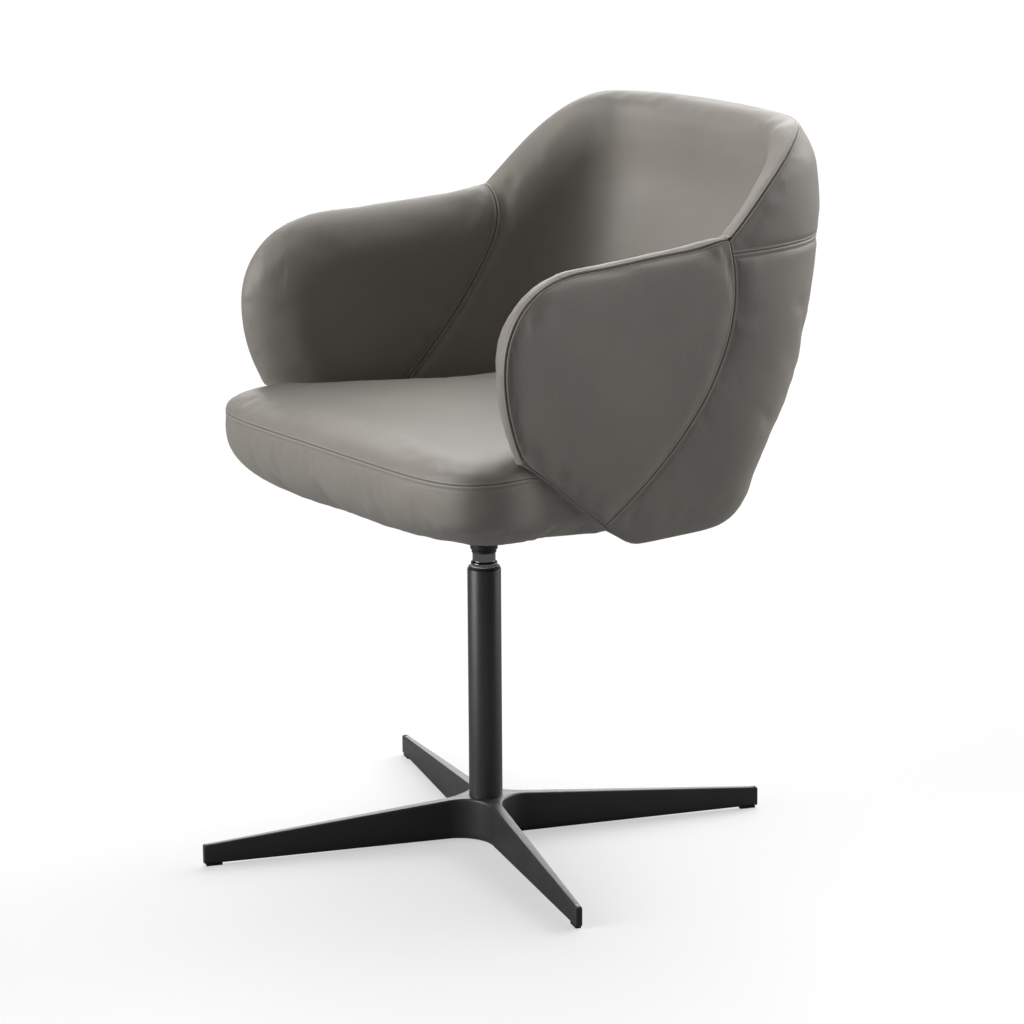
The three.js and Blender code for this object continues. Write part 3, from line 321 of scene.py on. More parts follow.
# Studio: lengths in metres, angles in degrees
CAMERA_LENS = 136.28
CAMERA_SENSOR = 36
CAMERA_PLACE = (3.46246, -2.38584, 1.40610)
CAMERA_TURN = 55
CAMERA_DROP = 13.722
CAMERA_ROLL = -0.349
FLOOR_REACH = 12.0
FLOOR_SHADE = 0.35
FLOOR_BOUNCE = 0.22
FLOOR_GLOW = 0.5
WORLD_AMBIENT = 0.035
WORLD_GLOSS = 0.16
LAMP_DISTANCE = 3
# Distant soft lights: name, where it stands as seen from the chair, strength, and apparent size
LIGHTS = (
    ("Front key", (-0.2, -0.77, 0.5), 1.15, 40),
    ("Low front softbox", (-0.3, -0.95, 0.15), 2.4, 40),
    ("Top softbox", (-0.3, 0.3, 1.0), 1.7, 45),
    ("Rear softbox", (-0.02, 0.9, 0.42), 2.8, 45),
    ("Rear left softbox", (-0.7, 0.55, 0.5), 1.8, 45),
    ("Low rear fill", (0.45, 0.9, 0.03), 0.8, 40),
)


# Small helpers


def smoothstep(share):
    t = np.clip(share, 0, 1)
    return t * t * (3 - 2 * t)


def mix(a, b, share):
    return a + (b - a) * share


def curve_through(rows, column):
    """A smooth curve through rows of (place, value, ...) that never overshoots."""
    x, y = rows[:, 0], rows[:, column]
    steps = np.diff(y) / np.diff(x)
    slopes = np.empty(len(x))
    slopes[0], slopes[-1] = steps[0], steps[-1]
    for k in range(1, len(x) - 1):
        a, b = steps[k - 1], steps[k]
        slopes[k] = 0 if a * b <= 0 else 2 * a * b / (a + b)

    def value(place):
        p = np.clip(place, x[0], x[-1])
        k = np.clip(np.searchsorted(x, p, side="left") - 1, 0, len(x) - 2)
        span = x[k + 1] - x[k]
        t = (p - x[k]) / span
        rise = (y[k + 1] - y[k]) * smoothstep(t)
        leaving = slopes[k] * span * t * (1 - t) ** 2
        arriving = slopes[k + 1] * span * t * t * (1 - t)
        return y[k] + rise + leaving - arriving

    return value


def nearest(points, path):
    """Distance of each point to a path, and the place on the path, counted in its steps."""
    distance = np.empty(len(points))
    where = np.empty(len(points))
    start, step = path[:-1], np.diff(path, axis=0)
    length = np.maximum((step**2).sum(1), 1e-12)
    for low in range(0, len(points), 2000):
        away = points[low:low + 2000, None, :] - start[None]
        t = np.clip((away * step).sum(2) / length, 0, 1)
        gap = np.sqrt(((away - t[..., None] * step) ** 2).sum(2))
        k = gap.argmin(1)
        rows = np.arange(len(k))
        distance[low:low + 2000] = gap[rows, k]
        where[low:low + 2000] = k + t[rows, k]
    return distance, where


def unit(vectors):
    return vectors / np.maximum(np.linalg.norm(vectors, axis=-1, keepdims=True), 1e-12)


def raised(plan, z):
    """The points of a plan at their heights."""
    return np.stack(np.broadcast_arrays(plan[..., 0], plan[..., 1], z), -1)


def mirrored(values):
    """Points of one side of the chair on its other side. Plain numbers stay as they are."""
    return values * np.array([-1, 1, 1]) if values.ndim > 1 else values


def both_sides(values):
    """What ends at the back's middle, joined to its mirror image."""
    return np.concatenate([values, mirrored(values)[-2::-1]])


LATTICE = np.random.default_rng(LATTICE_SEED).uniform(-1, 1, [LATTICE_CELLS] * 3)


def soft_noise(points, size):
    """A smooth random value from -1 to 1 for each point, with hills about as wide as size."""
    place = points / size + LATTICE_START
    cell = np.floor(place).astype(int)
    t = smoothstep(place - cell)
    total = 0
    for corner in range(8):
        offset = np.array([corner & 1, corner >> 1 & 1, corner >> 2 & 1])
        index = (cell + offset) % LATTICE_CELLS
        weight = np.prod(np.where(offset == 1, t, 1 - t), axis=-1)
        total = total + weight * LATTICE[index[..., 0], index[..., 1], index[..., 2]]
    return total


# The tub's walls


wall_width_share = curve_through(WALL_ROWS, 1)
wall_depth_share = curve_through(WALL_ROWS, 2)


def wall_half_width(z):
    return TUB_HALF_WIDTH * wall_width_share((z - TUB_FLOOR) / TUB_RISE)


def wall_depth(z):
    return TUB_DEPTH * wall_depth_share((z - TUB_FLOOR) / TUB_RISE)


def splay(y):
    run = np.maximum(SPLAY_START - y, 0)
    return SPLAY_SHARE * run * run / (run + SPLAY_BLEND)


ARM_RUN = ARM_FRONT + BEND_CENTRE
BEND_REACH = wall_half_width(JUNCTION_HEIGHT) + wall_depth(JUNCTION_HEIGHT) - BEND_CENTRE
QUARTER = float(BEND_REACH * QUARTER_SHARE)
FULL_RUN = ARM_RUN + QUARTER


def station_of(u):
    """Station of a run: 0 to 1 along the arm, 1 to 2 round the bend to the back's middle."""
    return np.where(u <= ARM_RUN, u / ARM_RUN, 1 + (u - ARM_RUN) / QUARTER)


def run_of(station):
    return np.where(station <= 1, station * ARM_RUN, ARM_RUN + (station - 1) * QUARTER)


def wall_point(station, z):
    turn = np.clip(station - 1, 0, 1) * math.pi / 2
    half_width, depth = wall_half_width(z), wall_depth(z) - BEND_CENTRE
    c, s = np.cos(turn), np.sin(turn)
    n = PLAN_SQUARENESS
    reach = ((np.abs(c) / half_width) ** n + (np.abs(s) / depth) ** n) ** (-1 / n)
    y_arm = mix(-ARM_FRONT, BEND_CENTRE, station)
    y_back = BEND_CENTRE + reach * s
    x_arm = half_width + splay(y_arm)
    x_back = reach * c + splay(y_back) * smoothstep(2 - station)
    on_arm = station <= 1
    return np.stack([np.where(on_arm, x_arm, x_back), np.where(on_arm, y_arm, y_back)], -1)


def wall_normal(station, z):
    step = 0.002
    ahead, behind = np.minimum(station + step, 2), np.maximum(station - step, 0)
    along = unit(wall_point(ahead, z) - wall_point(behind, z))
    return np.stack([along[..., 1], -along[..., 0]], -1)


def rim_height(station):
    y = mix(-ARM_FRONT, BEND_CENTRE, station)
    run = np.clip((ARM_FRONT + y) / ARM_CORNER_LENGTH, 0, 1)
    rise = (1 - (1 - run) ** RIM_CORNER) ** (1 / RIM_CORNER)
    rear = smoothstep((y + ARM_FRONT - ARM_CORNER_LENGTH) / (ARM_RUN - ARM_CORNER_LENGTH))
    arm = mix(ARM_NOSE_HEIGHT, ARM_TOP_HEIGHT, rise) + ARM_REAR_RISE * rear
    turn = station - 1
    arm_rear = ARM_TOP_HEIGHT + ARM_REAR_RISE
    before = mix(arm_rear, JUNCTION_HEIGHT, turn / JUNCTION_TURN)
    climb = np.clip((turn - JUNCTION_TURN) / (SHOULDER_TURN - JUNCTION_TURN), 0, 1)
    crown = smoothstep((turn - JUNCTION_TURN) / (1 - JUNCTION_TURN))
    wing = JUNCTION_HEIGHT + SHOULDER_RISE * np.sin(climb * math.pi / 2) ** WING_CURVE
    wing = wing + CROWN_RISE * crown
    return np.where(station <= 1, arm, np.where(turn < JUNCTION_TURN, before, wing))


def lower_edge(station):
    y = mix(-ARM_FRONT, BEND_CENTRE, station)
    run = np.clip((y + ARM_FRONT) / (ARM_FRONT - ARM_FOOT_REACH), 0, 1)
    nose = ARM_NOSE_HEIGHT - (ARM_NOSE_HEIGHT - ARM_FOOT_HEIGHT) * np.sqrt(run)
    arm = mix(ARM_HEEL_HEIGHT, ARM_FOOT_HEIGHT, -y / ARM_FOOT_REACH)
    ease = 1 - (1 - np.clip(y / ARM_HEEL_RUN, 0, 1)) ** 2
    heel = mix(ARM_HEEL_HEIGHT, TUB_FLOOR, ease)
    edge = np.where(y < -ARM_FOOT_REACH, nose, np.where(y < 0, arm, heel))
    return np.where(station >= 1, TUB_FLOOR, edge)


def inner_floor(station):
    return lower_edge(station) + FLOOR_LIFT * smoothstep(station * 2 - 1)


# Runs and heights along the rim, and down the arm's nose to the foot's corner, crowded at the tip
RIM_RUNS = np.concatenate([ARM_CORNER_LENGTH * np.linspace(0, 1, CORNER_POINTS) ** 2,
                           np.linspace(ARM_CORNER_LENGTH, FULL_RUN, RIM_POINTS)[1:]])
RIM_HEIGHTS = rim_height(station_of(RIM_RUNS))
FOOT_RUNS = (ARM_FRONT - ARM_FOOT_REACH) * np.linspace(0, 1, NOSE_ROWS) ** 2
FOOT_HEIGHTS = lower_edge(station_of(FOOT_RUNS))


def rim_distance(u, z):
    points = np.stack([u.ravel(), z.ravel()], -1)
    rim = nearest(points, np.stack([RIM_RUNS, RIM_HEIGHTS], -1))[0]
    foot = nearest(points, np.stack([FOOT_RUNS, FOOT_HEIGHTS], -1))[0]
    return np.minimum(rim, foot).reshape(u.shape)


def tub_thickness(u, z):
    station = station_of(u)
    full = mix(ARM_THICKNESS, BACK_THICKNESS, smoothstep(station - 1))
    roll = 1 - np.minimum(rim_distance(u, z) / ROLL_DROP, 1)
    foot = np.clip(1 - (z - TUB_FLOOR - FLOOR_LIFT) / FOOT_RISE, 0, 1) * smoothstep(station * 2 - 1)
    return full * np.sqrt(np.maximum(1 - roll * roll, 0)) + FOOT_THICKENING * foot * foot


def sagged(points):
    """Lets the tub's padding hang a little lower behind its middle."""
    low = smoothstep((REAR_SAG_TOP - points[..., 2]) / REAR_SAG_RISE)
    drop = REAR_SAG * smoothstep((points[..., 1] - REAR_SAG_START) / REAR_SAG_RUN) * low
    return points - drop[..., None] * np.array([0.0, 0.0, 1.0])


def tub_surface(u, z, inner):
    """Points of the tub's outer or inner face over the unrolled side view."""
    station = station_of(u)
    plan = wall_point(station, z)
    if inner:
        plan = plan - wall_normal(station, z) * tub_thickness(u, z)[..., None]
    return sagged(raised(plan, z))


def rim_curve():
    return tub_surface(RIM_RUNS, RIM_HEIGHTS, False)


def edge_curve(runs):
    return tub_surface(runs, lower_edge(station_of(runs)), False)


def run_at(y, z):
    """The unrolled run of the outer wall's point with a given y and height."""
    y, z = np.broadcast_arrays(np.asarray(y, float), np.asarray(z, float))
    low, high = np.ones_like(y), np.full_like(y, 2.0)
    for _ in range(40):
        middle = (low + high) / 2
        beyond = wall_point(middle, z)[..., 1] > y
        high = np.where(beyond, middle, high)
        low = np.where(beyond, low, middle)
    on_arm = y <= BEND_CENTRE
    return np.where(on_arm, y + ARM_FRONT, run_of((low + high) / 2))


def bezier(handles, count):
    a, b, c, d = (np.array(h, float) for h in handles)
    t = np.linspace(0, 1, count)[:, None]
    return (1 - t) ** 3 * a + 3 * (1 - t) ** 2 * t * b + 3 * (1 - t) * t * t * c + t**3 * d


def seam_in_run(points):
    """A seam of side view points, as (run, height) from its foot to its head."""
    runs = run_at(points[:, 0], points[:, 1])
    order = np.argsort(points[:, 1])
    return np.stack([runs, points[:, 1]], -1)[order]


OUTER_SEAM_LINE = seam_in_run(bezier(OUTER_SEAM, 300))
INNER_SEAM_LINE = seam_in_run(np.vstack([bezier(INNER_SEAM, 300), [INNER_SEAM_FOOT]]))


def part_of(line, low, high, count=300):
    """The stretch of a seam line between two heights."""
    z = np.linspace(low, high, count)
    return np.stack([np.interp(z, line[:, 1], line[:, 0]), z], -1)


def level_line(start, count):
    """The level seam across the outer back, as (run, height) from a given run to the middle."""
    heights = np.full(count, float(BACK_SEAM_HEIGHT))
    return np.stack([np.linspace(start, FULL_RUN, count), heights], -1)


# Covers of the tub: grids of (run, height)


def crowded(total, step=COVER_STEP, start=True, end=True):
    """Shares from 0 to 1 with rows at the seam distances near each end that has a seam."""
    near = [d / total for d in SEAM_ROWS]
    low, high = (near if start else [0]), ([1 - d for d in near] if end else [1])
    count = max(int((high[-1] - low[-1]) * total / step), 2)
    middle = np.linspace(low[-1], high[-1], count + 1)[1:-1]
    return np.concatenate([low, middle, high[::-1]])


def arm_patch(seam, rows):
    """From the arm's nose tip to a seam; columns lean from upright into the seam's own line."""
    foot = FOOT_RUNS
    low_end, high_end = seam[0], seam[-1]
    rest = mix(foot[-1], low_end[0], crowded(low_end[0] - foot[-1], start=False))
    low_u = np.concatenate([foot, rest[1:]])
    t = low_u / low_end[0]
    high_u = low_u + (high_end[0] - low_end[0]) * t**1.5
    low_z, high_z = lower_edge(station_of(low_u)), rim_height(station_of(high_u))
    low_z[-1], high_z[-1] = low_end[1], high_end[1]
    return fill_patch(low_u, low_z, high_u, high_z, seam, t**3, rows)


def back_patch(seam, low_line, high_line, rows, step=COVER_STEP):
    """From a seam to the back's middle, between two lines that give the height by run."""
    low_end, high_end = seam[0], seam[-1]
    t = crowded(FULL_RUN - high_end[0], step, end=False)
    low_u, high_u = mix(low_end[0], FULL_RUN, t), mix(high_end[0], FULL_RUN, t)
    low_z, high_z = low_line(low_u), high_line(high_u)
    low_z[0], high_z[0] = low_end[1], high_end[1]
    return fill_patch(low_u, low_z, high_u, high_z, seam, (1 - t) ** 3, rows)


def fill_patch(low_u, low_z, high_u, high_z, seam, weight, rows):
    """Rows between a lower and an upper line, bowed towards the seam at their end."""
    bow = np.interp(mix(seam[0, 1], seam[-1, 1], rows), seam[:, 1], seam[:, 0])
    bow = bow - mix(seam[0, 0], seam[-1, 0], rows)
    u = mix(low_u[:, None], high_u[:, None], rows) + weight[:, None] * bow
    return u, mix(low_z[:, None], high_z[:, None], rows)


def cosine(shares):
    """Rows that crowd at the rim and at the foot, where the roll turns flat."""
    return (1 - np.cos(math.pi * shares)) / 2


# The seat


def seat_waist(y):
    share = smoothstep((y + SEAT_WAIST_START) / (SEAT_WAIST_START + SEAT_WAIST_END))
    return mix(1, SEAT_WAIST / SEAT_HALF_WIDTH, share)


def seat_outline(turn, inset):
    c, s = np.cos(turn), np.sin(turn)
    front = s < 0
    n = np.where(front, SEAT_FRONT_SQUARENESS, SEAT_REAR_SQUARENESS)
    depth = np.where(front, SEAT_FRONT - SEAT_SETBACK, SEAT_REAR + SEAT_SETBACK)
    reach = ((np.abs(c) / SEAT_HALF_WIDTH) ** n + (np.abs(s) / depth) ** n) ** (-1 / n)
    y = reach * s - SEAT_SETBACK
    waist = seat_waist(y)
    rear = smoothstep((y + SEAT_WAIST_REACH) / (2 * SEAT_WAIST_REACH))
    drawn = inset * mix(1, SEAT_REAR_INSET, rear)
    x = reach * c * waist * (1 - drawn / (SEAT_HALF_WIDTH * waist))
    return np.stack([x, reach * s * (1 - drawn / depth) - SEAT_SETBACK], -1)


def seat_border_points(turn, drop):
    """Points of the seat's border: round the seat, and down from the seam to the hem."""
    inset = SEAT_UNDER_INSET * (1 - (1 - drop**SEAT_SIDE_POWER) ** (1 / SEAT_HEM_POWER))
    plan = seat_outline(turn, inset)
    z = SEAT_SEAM - (SEAT_SEAM - SEAT_UNDERSIDE) * drop
    z = z - HEM_DROP * smoothstep((drop - HEM_START) / HEM_RUN)
    away = ((plan - np.array(CORNER_PLACE)) ** 2).sum(-1)
    corner = CORNER_LIFT * np.exp(-away / (2 * CORNER_SPREAD**2))
    lift = corner * smoothstep((drop - LIFT_START) / LIFT_RUN)
    z = z + lift * smoothstep((1 - drop) / LIFT_END)
    return raised(plan, z)


def seat_crown_points(turn, share):
    """Points of the seat's top: round the seat, and from the seam over the shoulder inward."""
    inset = SEAT_SHOULDER * np.minimum(share * 2, 1)
    centre = np.maximum(share * 2 - 1, 0)
    plan = seat_outline(turn, inset) * (1 - centre)[..., None]
    dome = smoothstep(centre) * (1 - SEAT_SHOULDER_SHARE)
    rise = SEAT_SHOULDER_SHARE * shoulder_round(inset) + dome
    return raised(plan, SEAT_SEAM + SEAT_CROWN * rise)


def shoulder_round(inset):
    return (1 - (1 - inset / SEAT_SHOULDER) ** SEAT_ROUND) ** (1 / SEAT_ROUND)


def seat_turns(count):
    """Turns round the seat, spread so that the points lie about evenly along its outline."""
    fine = np.linspace(0, 2 * math.pi, 4001)
    outline = seat_outline(fine, np.zeros_like(fine))
    length = np.concatenate([[0], np.cumsum(np.linalg.norm(np.diff(outline, axis=0), axis=1))])
    return np.interp(np.linspace(0, length[-1], count + 1)[:-1], length, fine)


def seat_seam(count):
    """The seam round the seat, which ends where it starts."""
    turns = seat_turns(count)
    return seat_border_points(np.append(turns, turns[:1]), np.zeros(count + 1))


def seat_shares():
    """Rows of the top: near the seam by distance over the round shoulder, then in to the centre."""
    fine = np.linspace(0, 1, 2001) ** 2.4 * 0.5
    inset = SEAT_SHOULDER * 2 * fine
    height = SEAT_CROWN * SEAT_SHOULDER_SHARE * shoulder_round(inset)
    length = np.concatenate([[0], np.cumsum(np.hypot(np.diff(inset), np.diff(height)))])
    near = np.concatenate([SEAM_ROWS, np.arange(24, length[-1], COVER_STEP)])
    return np.concatenate([np.interp(near, length, fine), mix(0.5, 1, np.linspace(0, 1, 36))])


def tucked(points):
    """Draws the seat in beside the arms, so that their lower edges stand proud of it."""
    x, y, z = points[:, 0], points[:, 1], points[:, 2]
    limit = wall_half_width(z) + splay(y) - ARM_PROUD
    excess = np.maximum(np.abs(x) - limit, 0) * smoothstep((y + TUCK_START) / TUCK_RUN)
    return np.stack([x - np.sign(x) * excess, y, z], -1)


def tub_contact(points):
    """How far each point of the seat lies inside the tub's inner wall, seen from above."""
    runs = np.linspace(0, FULL_RUN, 300)
    runs = runs[runs > ARM_FRONT - ARM_FOOT_REACH]
    wall = tub_surface(runs, np.full_like(runs, CONTACT_HEIGHT), True)[:, :2]
    plan = np.stack([np.abs(points[:, 0]), points[:, 1]], -1)
    distance, where = nearest(plan, wall)
    index = np.clip(where.astype(int), 0, len(wall) - 2)
    along, away = wall[index + 1] - wall[index], plan - wall[index]
    side = along[:, 0] * away[:, 1] - along[:, 1] * away[:, 0]
    return np.where(side > 0, distance, -distance)


def pressed(points):
    """Sinks the seat's edge where the tub stands on it."""
    gap = tub_contact(points)
    y, z = points[:, 1], points[:, 2]
    rear = smoothstep((y - REAR_DENT_START) / REAR_DENT_RUN)
    dent = np.where(gap > 0, np.exp(-((gap / mix(DENT_WIDTH, REAR_DENT_WIDTH, rear)) ** 2)), 1.0)
    dent *= smoothstep((y - DENT_START) / DENT_RUN)
    dent *= smoothstep((z - SEAT_SEAM + DENT_HEIGHT) / DENT_HEIGHT)
    return raised(points, z - mix(DENT_DEPTH, REAR_DENT_DEPTH, rear) * dent)


# Seams and covers


class Seam:
    """A seam line in space, millimetres, with how deep, high and wide its hems are.

    Where the cover turns over an edge, corner is the radius, own the way out of the cover's own
    face and other the way out of the face beyond the edge.
    """

    def __init__(self, path, groove, ridge, pull, stitch=0.0, swell=0.0,
                 corner=0.0, own=None, other=None):
        self.path, self.groove, self.ridge, self.pull = path, groove, ridge, pull
        self.stitch, self.swell = stitch, swell
        self.corner, self.own, self.other = corner, own, other

    def changed(self, change):
        """The same seam after a change to each list that runs along it."""
        return Seam(**{key: change(value) if np.ndim(value) else value
                       for key, value in vars(self).items()})


def edge_seam(inner):
    """The tub's edge as one seam: from the back along the foot, up the nose and along the rim."""
    lower_runs = np.linspace(FULL_RUN, FOOT_RUNS[-1], LOWER_COUNT)[:-1]
    nose = edge_curve(FOOT_RUNS)[::-1]
    paths = edge_curve(lower_runs), nose, rim_curve()[1:]
    runs = lower_runs, FOOT_RUNS[::-1], RIM_RUNS[1:]
    path, runs = (np.concatenate(parts[1:] if inner else parts) for parts in (paths, runs))
    out = raised(wall_normal(station_of(runs), np.maximum(path[:, 2], TUB_FLOOR)), 0.0)
    past = unit(np.cross(out, unit(np.gradient(path, axis=0))))
    past = past * np.sign(past[-1, 2])
    top = smoothstep((runs - ARM_TOP_START) / ARM_TOP_RISE)
    top = top * smoothstep((run_at(*OUTER_SEAM[0]) - ARM_TOP_MARGIN - runs) / ARM_TOP_FALL)
    corner = mix(RIM_ROUND, ARM_TOP_ROUND, top)
    away = np.linalg.norm(path - nose[0], axis=1)
    if inner:
        corner = corner * smoothstep(away / FOOT_BLEND)
        return Seam(path, corner=corner, own=past, other=out, swell=EDGE_SWELL, **EDGE_STYLE)
    under, fade = np.arange(len(path)) < LOWER_COUNT - 1, smoothstep(away / UNDER_BLEND)
    corner = np.where(under, mix(RIM_ROUND, FOOT_ROUND, fade), corner)
    style = {key: np.where(under, mix(value, UNDER_STYLE[key], fade), value)
             for key, value in EDGE_STYLE.items()}
    return Seam(path, corner=corner, own=out, other=past, **style)


def band_seam():
    """The lower edge as the band under the tub sees it, with the outer covers' radius."""
    seam = edge_seam(False).changed(lambda values: values[:LOWER_COUNT])
    seam.own, seam.other = seam.other, seam.own
    return seam


def seam_on_wall(line, inner, style):
    return Seam(tub_surface(*line.T, inner), **style)


def whole(seam):
    """A seam that reaches the back's middle, together with its mirror image."""
    order = -1 if abs(seam.path[-1, 0]) > 0.5 else 1
    return seam.changed(lambda values: both_sides(values[::order]))


def seam_relief(points, normals, seams):
    """Turns the edge over its corner, sinks the seam, lifts the hem and pulls the padding in."""
    least = np.full(len(points), SEAM_REACH)
    moved = points.copy()
    for seam in seams:
        distance, where = nearest(points, seam.path)
        least = np.minimum(least, distance)
        place = np.round(where).astype(int)
        groove, ridge, pull = (strength[place] if np.ndim(strength) else strength
                               for strength in (seam.groove, seam.ridge, seam.pull))
        if np.ndim(seam.corner):
            near = distance < seam.corner[place] - 0.01
            index = place[near]
            own, other, round_off = seam.own[index], seam.other[index], seam.corner[index]
            turn = (1 - distance[near] / round_off) * math.pi / 4
            fall = round_off * (1 - np.cos(turn))
            slide = distance[near] - round_off * (1 - np.sin(turn))
            moved[near] += -fall[:, None] * own + slide[:, None] * other
            blend = turn[:, None] / (math.pi / 4)
            normals[near] = unit(mix(normals[near], unit(own + other), blend))
        lift = -groove * np.exp(-((distance / GROOVE_WIDTH) ** 2))
        lift += ridge * np.exp(-(((distance - RIDGE_PLACE) / RIDGE_WIDTH) ** 2))
        lift -= seam.stitch * np.exp(-(((distance - STITCH_PLACE) / STITCH_WIDTH) ** 2))
        lift -= pull * np.exp(-distance / PULL_WIDTH)
        share = distance / SWELL_PLACE
        lift += seam.swell * share * np.exp(1 - share)
        moved += lift[:, None] * normals
    return moved, least


def soft_surface(points, least, amount):
    """Low, wide unevenness of padded leather, which dies out at the seams."""
    free = smoothstep(least / SOFT_FREE)
    (high, wide), (low, small) = WIDE_HILLS, SMALL_HILLS
    hills = high * soft_noise(points, wide) + low * soft_noise(points + HILL_SHIFT, small)
    return amount * free * hills


def grid_faces(rows, columns, closed=False):
    across = columns if closed else columns - 1
    i, j = np.meshgrid(np.arange(rows - 1), np.arange(across), indexing="ij")
    k = (j + 1) % columns
    low, high = i * columns, (i + 1) * columns
    return np.stack([low + j, high + j, high + k, low + k], -1).reshape(-1, 4)


def vertex_normals(points, faces):
    a, b, c, d = (points[faces[:, k]] for k in range(4))
    face = np.cross(c - a, d - b)
    total = np.zeros_like(points)
    for k in range(4):
        np.add.at(total, faces[:, k], face)
    return unit(total)


def mesh_from(name, points, faces, attributes=None):
    mesh = bpy.data.meshes.new(name)
    mesh.from_pydata((np.asarray(points) * MM).tolist(), [], [tuple(face) for face in faces])
    for key, values in (attributes or {}).items():
        attribute = mesh.attributes.new(key, "FLOAT", "POINT")
        attribute.data.foreach_set("value", values.astype(np.float32))
    mesh.validate()
    mesh.shade_smooth()
    piece = bpy.data.objects.new(name, mesh)
    bpy.context.scene.collection.objects.link(piece)
    return piece


def weld(piece, distance=0.00002, closed=False):
    """Joins close points. A closed piece's faces are turned outward, an open one's slivers go."""
    made = bmesh.new()
    made.from_mesh(piece.data)
    bmesh.ops.remove_doubles(made, verts=made.verts, dist=distance)
    if closed:
        bmesh.ops.recalc_face_normals(made, faces=made.faces)
    else:
        bmesh.ops.dissolve_degenerate(made, edges=made.edges, dist=distance / 2)
    made.to_mesh(piece.data)
    made.free()


def dress(piece, body, slot, material, *nodes):
    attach(piece, body)
    if nodes:
        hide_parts(*nodes)
    piece.data.materials.clear()
    piece.data.materials.append(material)
    return piece


def cover(name, grid, seams, pad, fill=None, turned=False, closed=False, softness=1.0):
    """A leather cover from a grid of points, the seams round it and the padding under it."""
    points = grid.reshape(-1, 3)
    faces = grid_faces(*grid.shape[:2], closed)
    if turned:
        faces = faces[:, ::-1]
    normals = vertex_normals(points, faces)
    moved, least = seam_relief(points, normals, seams)
    moved += soft_surface(points, least, softness)[:, None] * normals
    moved += passed_on(points, pad) * smoothstep(least / PAD_FREE)[:, None]
    if pad == "seat_foam":
        moved = pressed(tucked(moved))
    # seam_distance is each point's distance to its nearest seam. The leather shader uses it to
    # paint a highlight on the hems and shade in the seams' grooves.
    piece = mesh_from(f"{name}_leather", moved, faces, {"seam_distance": least * MM})
    weld(piece)
    solid = piece.modifiers.new("Leather thickness", "SOLIDIFY")
    solid.thickness = bpy.context.scene.armchair_sizes.leather_thickness
    solid.offset = -1
    if fill is None:
        return dress(piece, "seat", "taupe_leather", leather_material())
    dress(piece, "seat", "taupe_leather", leather_material(), f"{name}_cover")
    return piece


# Materials


def add_node(tree, kind, inputs=None, **settings):
    node = tree.nodes.new(kind)
    for key, value in settings.items():
        setattr(node, key, value)
    for key, value in (inputs or {}).items():
        if isinstance(value, bpy.types.NodeSocket):
            tree.links.new(value, node.inputs[key])
        else:
            node.inputs[key].default_value = value
    return node


def math_node(tree, operation, a, b=0.0, c=0.0):
    return add_node(tree, "ShaderNodeMath", {0: a, 1: b, 2: c}, operation=operation).outputs[0]


def mix_colour(tree, share, a, b):
    return add_node(tree, "ShaderNodeMix", {0: share, 6: a, 7: b}, data_type="RGBA").outputs[2]


def noise(tree, place, scale, detail, roughness=0.5, distortion=0.0):
    inputs = {"Vector": place, "Scale": scale, "Detail": detail,
              "Roughness": roughness, "Distortion": distortion}
    return add_node(tree, "ShaderNodeTexNoise", inputs).outputs[0]


def fading(tree, distance, near, far):
    """A mask that is 1 up to a near distance and 0 from a far one."""
    return add_node(tree, "ShaderNodeMapRange", {0: distance, 1: near, 2: far, 3: 1.0, 4: 0.0},
                    interpolation_type="SMOOTHSTEP").outputs[0]


def new_group(name, inputs):
    """A shader group with given inputs that works out a colour, a roughness and a height."""
    tree = bpy.data.node_groups.new(name, "ShaderNodeTree")
    for label, kind in inputs.items():
        tree.interface.new_socket(name=label, in_out="INPUT", socket_type=f"NodeSocket{kind}")
    for label, kind in (("Colour", "Color"), ("Roughness", "Float"), ("Height", "Float")):
        tree.interface.new_socket(name=label, in_out="OUTPUT", socket_type=f"NodeSocket{kind}")
    return tree, tree.nodes.new("NodeGroupInput").outputs


def close_group(tree, *results):
    out = tree.nodes.new("NodeGroupOutput")
    for index, result in enumerate(results):
        tree.links.new(result, out.inputs[index])
    return tree


def leather_group():
    """Grain, pores and mottling of the hide, with a painted highlight on the raised hems and
    painted shade in the seams' grooves.
    """
    tree, given = new_group("Leather hide", {
        "Vector": "Vector", "Seam distance": "Float", "Colour": "Color",
        "Pale": "Color", "Dark": "Color", "Grain size": "Float"})
    place, metres, pale, dark = (given[key] for key in ("Vector", "Seam distance", "Pale", "Dark"))
    cells = math_node(tree, "DIVIDE", 1.0, given["Grain size"])
    pores = add_node(tree, "ShaderNodeTexVoronoi", {
        "Vector": place, "Scale": cells, "Randomness": 0.95}).outputs["Distance"]
    fine, cloudy = noise(tree, place, 420.0, 3.0, 0.6), noise(tree, place, 9.0, 4.0, 0.55)
    creased = noise(tree, place, 46.0, 2.0, distortion=0.6)
    cloud = math_node(tree, "MULTIPLY_ADD", cloudy, 1.6, -0.35)
    body = mix_colour(tree, 0.15, given["Colour"], mix_colour(tree, cloud, dark, pale))
    # Darker pores are grain. The paler colour 1.2 to 3.4 mm from a seam is a painted highlight on
    # the raised hem, and the dark line within 0.9 mm of it is painted shade in the seam's groove.
    for share, strength, tone in (
            (math_node(tree, "LESS_THAN", pores, 0.16), 0.1, dark),
            (fading(tree, metres, 0.0012, 0.0034), 0.55, pale),
            (fading(tree, metres, 0.0, 0.0009), 0.8, dark)):
        body = mix_colour(tree, math_node(tree, "MULTIPLY", share, strength), body, tone)
    height = math_node(tree, "MULTIPLY", pores, 0.5)
    height = math_node(tree, "MULTIPLY_ADD", fine, 0.45, height)
    height = math_node(tree, "MULTIPLY_ADD", creased, 0.9, height)
    rough = math_node(tree, "MULTIPLY_ADD", fine, 0.12, 0.42)
    rough = math_node(tree, "MULTIPLY_ADD", cloudy, 0.08, rough)
    return close_group(tree, body, rough, height)


